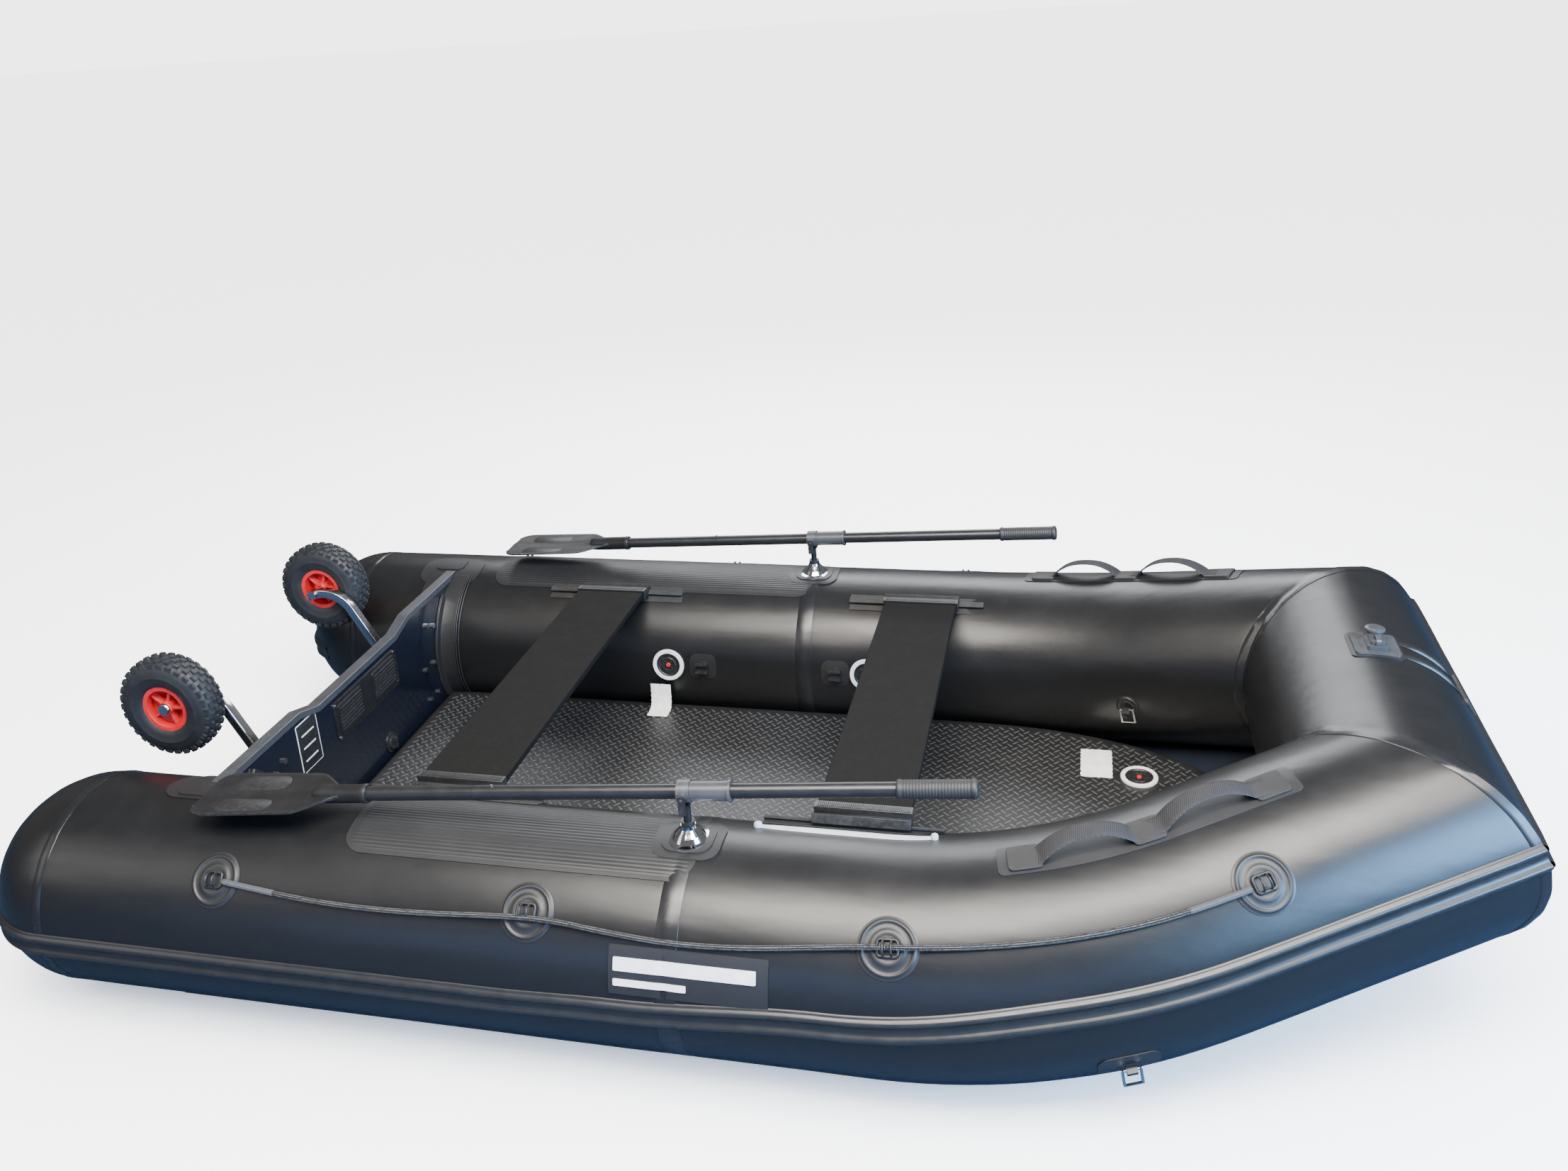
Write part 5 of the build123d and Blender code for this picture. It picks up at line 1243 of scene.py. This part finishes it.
def block(place, us, vs, hs, draw=0.0):
    """A small block between the given limits, its top drawn in."""
    points = []
    for h, inset in ((hs[0], 0.0), (hs[1], draw)):
        for u, v in ((us[0] + inset, vs[0] + inset), (us[1] - inset, vs[0] + inset),
                     (us[1] - inset, vs[1] - inset), (us[0] + inset, vs[1] - inset)):
            points.append(place(u, v, h))
    return points, BLOCK_FACES


def turned_place(place, turn):
    return lambda u, v, h: place(u * cos(turn) - v * sin(turn), u * sin(turn) + v * cos(turn), h)


def add_valves():
    rings, cups = [], []
    rim = [(0.046, 0.0002), (0.0462, 0.003), (0.0450, 0.0052), (0.0430, 0.0058), (0.0400, 0.0054),
           (0.0385, 0.0062), (0.0360, 0.0062), (0.0345, 0.0050), (0.0340, 0.0012)]
    cup = [(0.0344, 0.0040), (0.0325, 0.0046), (0.0305, 0.0040), (0.0290, 0.0020), (0.0220, 0.0014),
           (0.0200, 0.0030), (0.0180, 0.0030), (0.0160, 0.0014), (0.0080, 0.0012), (0.0004, 0.0012)]
    button = [(0.0062, -0.0040), (0.0062, 0.0040), (0.0056, 0.0050), (0.0030, 0.0056), (0.0003, 0.0058)]
    for name, place in valve_places().items():
        rings.append(dish(place, rim))
        cups.append(dish(place, cup))
        for k in range(24):
            spot = turned_place(place, 2 * pi * k / 24)
            rings.append(block(spot, (0.0412, 0.0440), (-0.0022, 0.0022), (0.0050, 0.0066), 0.0005))
        for k in range(8):
            spot = turned_place(place, 2 * pi * k / 8)
            cups.append(block(spot, (0.0085, 0.0285), (-0.0014, 0.0014), (0.0010, 0.0036), 0.0004))
        body = f"{name}_valve_pin"
        piece(f"{name}_valve_button", dish(place, button, 24), RED_PLASTIC, body, [body])
    piece("valve_rings", joined(*rings), WHITE_PLASTIC, nodes=["air_valves"])
    piece("valve_cups", joined(*cups), BLACK_PLASTIC)


def tag_sheet(name, corner_line, width, length):
    """A blank felt tag: its long line of points, swept sideways, with a ragged edge."""
    points = even_points([Vector(p) for p in corner_line], length / 28)
    rows = []
    for k, point in enumerate(points):
        row = []
        for step in range(15):
            share = -1 + step / 7
            ragged = 1 + 0.08 * noise.noise(Vector((k * 0.6, share * 3, 7)))
            lift = 0.003 * noise.noise(Vector((k * 0.35, share * 2.5, 3)))
            ends = 0.002 * noise.noise(Vector((share * 4, k * 0.1, 1)))
            row.append(point + X_AXIS * (share * ragged * width / 2) + Vector((0, -ends, abs(lift))))
        rows.append(row)
    tag = piece(name, net(rows), TAG_CLOTH, sharp=180)


def add_tags():
    inner = HALF_SPACING - TUBE_R
    deck_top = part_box("air_deck")[1].z + 0.0016
    x = ROWLOCK_X - 0.4185
    hanging = [
        (x, inner - 0.010, deck_top + 0.072), (x, inner - 0.012, deck_top + 0.036),
        (x, inner - 0.018, deck_top + 0.009), (x, inner - 0.030, deck_top + 0.001),
        (x, inner - 0.064, deck_top),
    ]
    length = sum((Vector(b) - Vector(a)).length for a, b in zip(hanging, hanging[1:]))
    tag_sheet("aft_valve_tag", hanging, 0.060, length)
    x = ROWLOCK_X + 0.792
    lying = [
        (x, 0.313, deck_top), (x, 0.270, deck_top + 0.006),
        (x, 0.225, deck_top + 0.005), (x, 0.186, deck_top),
    ]
    length = sum((Vector(b) - Vector(a)).length for a, b in zip(lying, lying[1:]))
    tag_sheet("deck_valve_tag", lying, 0.078, length)


# ---- transom ------------------------------------------------------------------------------------

LABEL_PLACE = (-0.25, 0.352)


def add_transom():
    rounded_copy("transom_board", BOARD_PAINT, "hull", 0.002)
    rounded_copy("transom_trim", TRIM_PLASTIC, "hull", 0.0024)
    rounded_copy("transom_holders", PATCH_CLOTH, "hull", 0.0014)
    rounded_copy("motor_pads", BLACK_PLASTIC, "hull", 0.0008)
    rounded_copy("wheel_brackets", STEEL, "hull", 0.0012)
    face_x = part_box("transom_board")[1].x
    place = on_plane((face_x, *LABEL_PLACE), Y_AXIS, X_AXIS)
    size = {"half_long": 0.043, "half_wide": 0.066, "radius": 0.004}
    border = moulded(place, round_corners, [(0, 0.0001), (0, 0.0005), (0.0003, 0.0006)], **size)
    blank = moulded(place, round_corners, [(0.0028, 0.0002), (0.0028, 0.0009), (0.003, 0.001)], **size)
    lines = []
    for v in (0.030, -0.004, -0.038):
        def bar(u, w, h, v=v):
            return place(u, w + v, h)
        lines.append(moulded(bar, round_corners, [(0, 0.0009), (0, 0.0013)],
                             half_long=0.026, half_wide=0.0022, radius=0.002))
    piece("label_border", joined(border, *lines), PRINT_WHITE)
    piece("label_blank", blank, BLACK_PLASTIC)
    station = (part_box("transom_board")[0].x + face_x) / 2 - ROWLOCK_X
    gussets = [skin_patch(on_skin(station, 103), 0.095, 0.062, 0.045, 0.0022, lines=30),
               skin_patch(on_skin(station - 0.01, 97), 0.045, 0.030, 0.018, 0.0050, lines=20)]
    rims = []
    for reach, height in ((0.078, 0.0040), (0.070, 0.0040)):
        arc = [skin(station + reach, 112 + 108 * k / 40, height) for k in range(41)]
        rims.append(bent_bar(arc, 0.0022, False, X_AXIS))
    piece("transom_gussets", both_sides(joined(*gussets, *rims)), PATCH_CLOTH, sharp=60)


# ---- launching wheels ---------------------------------------------------------------------------

PIVOT_REACH = 0.032
PIVOT_Z = 0.196
ARM_SIZE = 0.025


def filleted(points, radii, steps=12):
    """A line of points with an arc at each inner corner."""
    points = [Vector(p) for p in points]
    line = [points[0]]
    for before, here, after, radius in zip(points, points[1:], points[2:], radii):
        back, ahead = (before - here).normalized(), (after - here).normalized()
        half = back.angle(ahead) / 2
        reach = radius / (sin(half) / cos(half))
        start, end = here + back * reach, here + ahead * reach
        centre = here + (back + ahead).normalized() * (radius / sin(half))
        for k in range(steps + 1):
            spoke = (start - centre).lerp(end - centre, k / steps).normalized()
            line.append(centre + spoke * radius)
    return line + [points[-1]]


def tyre_shape(place):
    """Carcass and knobbly tread; place takes a turn in radians, a distance across and a radius."""
    half = [(0.0575, 0.0215), (0.0590, 0.0290), (0.0640, 0.0335), (0.0730, 0.0362), (0.0850, 0.0374),
            (0.0870, 0.0382), (0.0890, 0.0374), (0.0980, 0.0366), (0.1080, 0.0335), (0.1160, 0.0285),
            (0.1220, 0.0200), (0.1250, 0.0110), (0.1256, 0.0)]
    profile = half + [(r, -y) for r, y in reversed(half[:-1])]
    steps = 72
    rows = [[place(2 * pi * k / steps, y, r) for k in range(steps)] for r, y in profile]
    shapes = [net(rows, ring=True)]
    knobs = 30
    for k in range(knobs):
        base = 2 * pi * k / knobs
        pitch = 2 * pi / knobs
        for side in (1, -1):
            shift = base + (0.5 * pitch if side < 0 else 0)
            for u, wide, v0, v1, low, high in (
                (0.0, 0.62, 0.0015, 0.0120, 0.1235, 0.1296), (0.5, 0.66, 0.0145, 0.0235, 0.1190, 0.1274),
                (0.0, 0.70, 0.0255, 0.0330, 0.1100, 0.1205),
            ):
                middle = shift + u * pitch
                us = (middle - wide * pitch / 2, middle + wide * pitch / 2)
                shapes.append(knob(place, us, (side * v0, side * v1), low, high))
    return joined(*shapes)


def knob(place, us, vs, low, high):
    """One block of the tread, its top drawn in."""
    points = []
    for radius, draw in ((low, 0.0), (high, 0.12)):
        du, dv = (us[1] - us[0]) * draw, (vs[1] - vs[0]) * draw
        left, right, near, far = us[0] + du, us[1] - du, vs[0] + dv, vs[1] - dv
        points += [place(u, v, radius) for u, v in ((left, near), (right, near), (right, far), (left, far))]
    return points, BLOCK_FACES


def rim_shape(place):
    """A moulded rim: channel, hub and a dished web with five spokes."""
    def turned(profile, loop):
        rows = [[place(2 * pi * k / 60, y, r) for k in range(60)] for r, y in profile]
        return net(rows, ring=True, loop=loop)
    channel = [(0.0490, -0.0295), (0.0600, -0.0300), (0.0606, -0.0275), (0.0570, -0.0250), (0.0552, -0.0180),
               (0.0552, 0.0180), (0.0570, 0.0250), (0.0606, 0.0275), (0.0600, 0.0300), (0.0490, 0.0295),
               (0.0478, 0.0200), (0.0474, 0.0), (0.0478, -0.0200)]
    hub = [(0.0086, -0.0290), (0.0165, -0.0290), (0.0180, -0.0275), (0.0190, 0.0), (0.0180, 0.0275),
           (0.0165, 0.0290), (0.0086, 0.0290)]
    web = [(0.0170, -0.0060), (0.0300, -0.0035), (0.0480, 0.0040),
           (0.0480, 0.0080), (0.0300, 0.0005), (0.0170, -0.0020)]
    shapes = [turned(channel, True), turned(hub, True), turned(web, True)]
    hub_end, channel_end = (0.0170, 0.30), (0.0478, 0.075)      # radius and half the spoke's turn
    spokes = [((-0.0030, -0.0215), (0.0050, -0.0185)), ((0.0, 0.0215), (0.0060, 0.0200))]
    for k in range(5):
        turn = 2 * pi * k / 5
        for at_hub, at_channel in spokes:
            points = []
            for (radius, wide), (y0, y1) in ((hub_end, at_hub), (channel_end, at_channel)):
                for a, y in ((-wide, y0), (wide, y0), (wide * 0.7, y1), (-wide * 0.7, y1)):
                    points.append(place(turn + a, y, radius))
            shapes.append((points, BLOCK_FACES))
    return joined(*shapes)


def add_wheels():
    low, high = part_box("port_wheel_tyre")
    centre = (low + high) / 2
    arm_low, arm_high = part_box("port_wheel_arm")
    arm_y = (arm_low.y + arm_high.y) / 2
    pivot_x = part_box("transom_board")[0].x - PIVOT_REACH
    path = filleted([
        (pivot_x + 0.005, arm_y, PIVOT_Z - 0.016), (pivot_x - 0.020, arm_y, PIVOT_Z + 0.064),
        (centre.x + 0.074, arm_y, centre.z + 0.018), (centre.x - 0.016, arm_y, centre.z - 0.007),
    ], (0.150, 0.090))
    square = round_corners(ARM_SIZE / 2, ARM_SIZE / 2, 0.004, steps=3)
    arm = swept(follow(path, Y_AXIS), square)
    end = path[-1] + (path[-1] - path[-2]).normalized() * 0.002
    plug = swept(follow([path[-1], end], Y_AXIS), round_corners(0.0132, 0.0132, 0.004, steps=3))

    def place(turn, across, radius):
        return centre + Vector((radius * cos(turn), across, radius * sin(turn)))

    tyre = tyre_shape(place)
    rim = rim_shape(place)
    cap_profile = [(0.0160, 0.0292), (0.0158, 0.0320), (0.0135, 0.0345), (0.0070, 0.0352), (0.0003, 0.0354)]
    cap = net([[place(2 * pi * k / 36, y, r) for k in range(36)] for r, y in cap_profile], ring=True)
    for side in ("port", "starboard"):
        piece(f"{side}_tyre_and_tread", for_side(tyre, side), TYRE_RUBBER, f"{side}_wheel",
              [f"{side}_wheel_tyre"], 35)
        piece(f"{side}_spoked_rim", for_side(rim, side), RED_PLASTIC, f"{side}_wheel",
              [f"{side}_wheel_rim"], 35, 0.0008)
        piece(f"{side}_hub_cap", for_side(cap, side), STEEL, f"{side}_wheel")
        piece(f"{side}_bent_arm", for_side(arm, side), STEEL, f"{side}_wheel_arm",
              [f"{side}_wheel_arm"], 50)
        piece(f"{side}_arm_plug", for_side(plug, side), BLACK_PLASTIC, f"{side}_wheel_arm",
              bevel=0.0006)


# ---- seats --------------------------------------------------------------------------------------

RAIL_WEDGE = (0.307, 108)   # station and angle
WEDGE_HALF = 0.185


def add_seats():
    rounded_copy("seat_rails", BLACK_RUBBER, "hull", 0.0012)
    for name in ("aft", "fore"):
        rounded_copy(f"{name}_seat_board", SEAT_BOARD, f"{name}_seat", 0.003)
        rounded_copy(f"{name}_seat_caps", BLACK_PLASTIC, f"{name}_seat", 0.0012)
        low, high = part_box(f"{name}_seat_caps")
        board_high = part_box(f"{name}_seat_board")[1]
        teeth = []
        count = 48
        for k in range(count):
            x = low.x + 0.006 + (high.x - low.x - 0.012) * (k + 0.5) / count
            spot = on_plane((x, board_high.y - 0.004, board_high.z + 0.0035), X_AXIS, Z_AXIS)
            teeth.append(block(spot, (-0.0013, 0.0013), (-0.008, 0.008), (0.0, 0.0022), 0.0004))
        piece(f"{name}_cap_teeth", both_sides(joined(*teeth)), BLACK_PLASTIC,
              f"{name}_seat")
    strip, knobs = [], []
    place = on_skin(*RAIL_WEDGE)
    for k in range(41):
        u = -WEDGE_HALF + 2 * WEDGE_HALF * k / 40
        wide = 0.0095 * sqrt(max(0.0, 1 - (u / (WEDGE_HALF + 0.002)) ** 2)) + 0.002
        strip.append([place(u, -wide, 0.0002), place(u, -wide * 0.8, 0.0042), place(u, 0, 0.0056),
                      place(u, wide * 0.8, 0.0042), place(u, wide, 0.0002)])
    knob_rings = [(0.0085, 0.0002), (0.0088, 0.006), (0.0070, 0.0095), (0.0030, 0.0112), (0.0003, 0.0115)]
    for u in (-WEDGE_HALF, WEDGE_HALF):
        def spot(a, b, h, u=u):
            return place(u + a, b, h)
        knobs.append(dish(spot, knob_rings, 24))
    piece("rail_wedge", mirrored(joined(net(strip), *knobs)), WHITE_PLASTIC, sharp=60)


# ---- oars and rowlocks --------------------------------------------------------------------------

OAR_HEIGHT = 0.108
OAR_SLOPE = radians(4)
OAR_YAW = radians(2)
OAR_LENGTH = 1.640
BLADE_HALF = 0.0775
GRIP_LENGTH = 0.154
GRIP_REACH = {"port": 0.687, "starboard": 0.571}


def oar_place():
    """Place on an oar in the port frame: distance towards the grip, sideways, up."""
    yaw = -OAR_YAW
    along = Vector((cos(OAR_SLOPE) * cos(yaw), cos(OAR_SLOPE) * sin(yaw), sin(OAR_SLOPE)))
    across = Vector((-sin(yaw), cos(yaw), 0))
    origin = Vector((ROWLOCK_X, HALF_SPACING, TUBE_Z + TUBE_R + OAR_HEIGHT))
    return origin, along, across, along.cross(across)


def blade_width(u):
    """Half the blade's width at a distance from its tip."""
    if u < 0.045:
        return BLADE_HALF * (0.62 + 0.38 * sqrt(max(0.0, 1 - ((0.045 - u) / 0.045) ** 2)))
    if u < 0.235:
        return BLADE_HALF * (1 - 0.06 * (u - 0.045) / 0.19)
    share = min(1.0, (u - 0.235) / 0.09)
    smooth = share * share * (3 - 2 * share)
    return BLADE_HALF * 0.94 * (1 - smooth) + 0.0195 * smooth


def blade_shape(origin, along, across, up, tip):
    """A moulded spoon: rolled edge, a spine that rises to the shaft, a shallow hollow each side."""
    lines = 44
    us = [0.0005 + 0.325 * (k / lines) ** 1.25 for k in range(lines + 1)]
    tops, bottoms = [], []
    for u in us:
        wide = blade_width(u)
        top, bottom = [], []
        for k in range(21):
            share = -1 + k / 10
            edge = 0.0012 + 0.0022 * (1 - min(1.0, abs(abs(share) - 0.93) / 0.07))
            spine = 0.0030 * exp(-(share * wide / 0.016) ** 2) * (0.6 + 3.0 * (u / 0.325) ** 3)
            hollow = -0.005 * (1 - share ** 2) * sin(pi * min(1.0, u / 0.3))
            base = origin + along * (tip + u) + across * (share * wide)
            top.append(base + up * (hollow + edge + spine + 0.002))
            bottom.append(base + up * (hollow - edge - spine * 0.7 + 0.001))
        tops.append(top)
        bottoms.append(bottom)
    rows = [top + list(reversed(bottom)) for top, bottom in zip(tops, bottoms)]
    blade = net(rows, ring=True, caps=True)
    socket = revolved(origin + along * tip, along, across, [
        (0.0150, 0.262), (0.0178, 0.268), (0.0190, 0.285), (0.0192, 0.372), (0.0200, 0.374),
        (0.0200, 0.383), (0.0190, 0.385), (0.0150, 0.385)], 32)
    return joined(blade, socket)


def blade_panel(origin, along, across, up, tip):
    """Two thin raised panels on the blade, one each side of the spine."""
    shapes = []
    for low, high, middle, half in ((0.052, 0.178, 0.040, 0.024), (0.052, 0.178, -0.040, 0.024)):
        def place(u, v, h, low=low, high=high, middle=middle):
            reach, beside = (low + high) / 2 + u, middle + v
            hollow = -0.005 * (1 - (beside / BLADE_HALF) ** 2) * sin(pi * (reach / 0.3))
            return origin + along * (tip + reach) + across * beside + up * (hollow + 0.0032 + h)
        shapes.append(moulded(place, round_corners, [(0, -0.001), (0, 0.0004), (0.0006, 0.0008)],
                              half_long=(high - low) / 2, half_wide=half, radius=0.022))
    return joined(*shapes)


def grip_shape(origin, along, across, end):
    """A ribbed rubber grip with a round end."""
    start = end - GRIP_LENGTH
    profile = [(0.0150, start), (0.0182, start + 0.001), (0.0196, start + 0.006)]
    for k in range(22):
        base = start + 0.010 + k * 0.0060
        profile += [(0.0186, base), (0.0176, base + 0.0022), (0.0176, base + 0.0036), (0.0186, base + 0.0056)]
    profile += [(0.0196, end - 0.010), (0.0194, end - 0.005), (0.0170, end - 0.0016)]
    profile += [(0.0110, end - 0.0003), (0.0003, end)]
    return revolved(origin, along, across, profile, 36)


def add_oars():
    for side in ("port", "starboard"):
        origin, along, across, up = oar_place()
        tip = GRIP_REACH[side] - OAR_LENGTH
        body = f"{side}_oar"
        blade = for_side(blade_shape(origin, along, across, up, tip), side)
        panels = for_side(blade_panel(origin, along, across, up, tip), side)
        grip = for_side(grip_shape(origin, along, across, GRIP_REACH[side]), side)
        piece(f"{side}_spoon_blade", blade, BLADE_PLASTIC, body, [f"{side}_oar_blade"], 50)
        piece(f"{side}_blade_panels", panels, PANEL_PLASTIC, body, sharp=50)
        piece(f"{side}_ribbed_grip", grip, BLACK_RUBBER, body, [f"{side}_oar_grip"], 60)
        rounded_copy(f"{side}_rowlock_pin", BLACK_PLASTIC, f"{side}_rowlock", 0.0014)


# ---- bow fittings -------------------------------------------------------------------------------


def add_bow_fittings():
    rounded_copy("bow_cleat", CLEAT_PLASTIC, "hull", 0.0022)
    rounded_copy("bow_handle", BLACK_RUBBER, "hull", 0.003)
    shapes = []
    for middle in (-0.030, 0.030):
        rows = []
        for k in range(31):
            angle = 36 + 40 * k / 30
            fade = min(1.0, 0.12 + 3 * min(k, 30 - k) / 30)
            place = on_bow(angle)
            row = []
            for step in range(9):
                share = -1 + step / 4
                height = 0.0062 * fade * sqrt(max(0.0, 1 - share ** 2)) + 0.0006
                row.append(place(middle + share * 0.0095, 0, height))
            rows.append(row)
        shapes.append(net(rows))
    piece("bow_ridge_mouldings", joined(*shapes), STRAKE_RUBBER,
          nodes=["bow_ridges"], sharp=70)
    place = on_bow(87)
    crown = dish(lambda u, v, h: place(u + 0.016, v, h), [
        (0.0185, 0.0300), (0.0180, 0.0335), (0.0150, 0.0352), (0.0100, 0.0346), (0.0004, 0.0344)], 30)
    base = skin_patch(place, 0.056, 0.054, 0.016, 0.0022, lines=16, columns=12)
    piece("cleat_crown", crown, CLEAT_PLASTIC)
    piece("cleat_patch", base, PATCH_CLOTH)


# ---- finishes of the nodes that keep their own shape --------------------------------------------


def finish_nodes():
    """Every node of the frame gets its material; those that a piece stands for stay hidden."""
    finishes = {
        "tube_baffles": TUBE_CLOTH, "keel_tube": BOTTOM_CLOTH, "drain_socket": BLACK_PLASTIC,
        "drain_plug": BLACK_PLASTIC, "transom_fasteners": STEEL, "rowlock_bases": CHROME,
        "oar_clips": BLACK_PLASTIC, "ring_saddles": BLACK_PLASTIC,
    }
    for side in ("port", "starboard"):
        finishes.update({
            f"{side}_oar_collar": COLLAR_PLASTIC, f"{side}_oar_shaft": OAR_ALLOY, f"{side}_oar_button": STEEL,
            f"{side}_lashing_ring": STEEL, f"{side}_tow_ring": STEEL, f"{side}_wheel_axle": STEEL,
        })
    for name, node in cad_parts.items():
        finish = finishes.get(name, BLACK_PLASTIC)
        node.data.materials.clear()
        node.data.materials.append(finish)


# ---- running order ------------------------------------------------------------------------------

add_camera()
add_studio()
add_lifelines()
add_tubes()
add_rub_strake()
add_bottom()
add_deck()
add_patches()
add_carry_handles()
add_valves()
add_tags()
add_transom()
add_wheels()
add_seats()
add_oars()
add_bow_fittings()
finish_nodes()
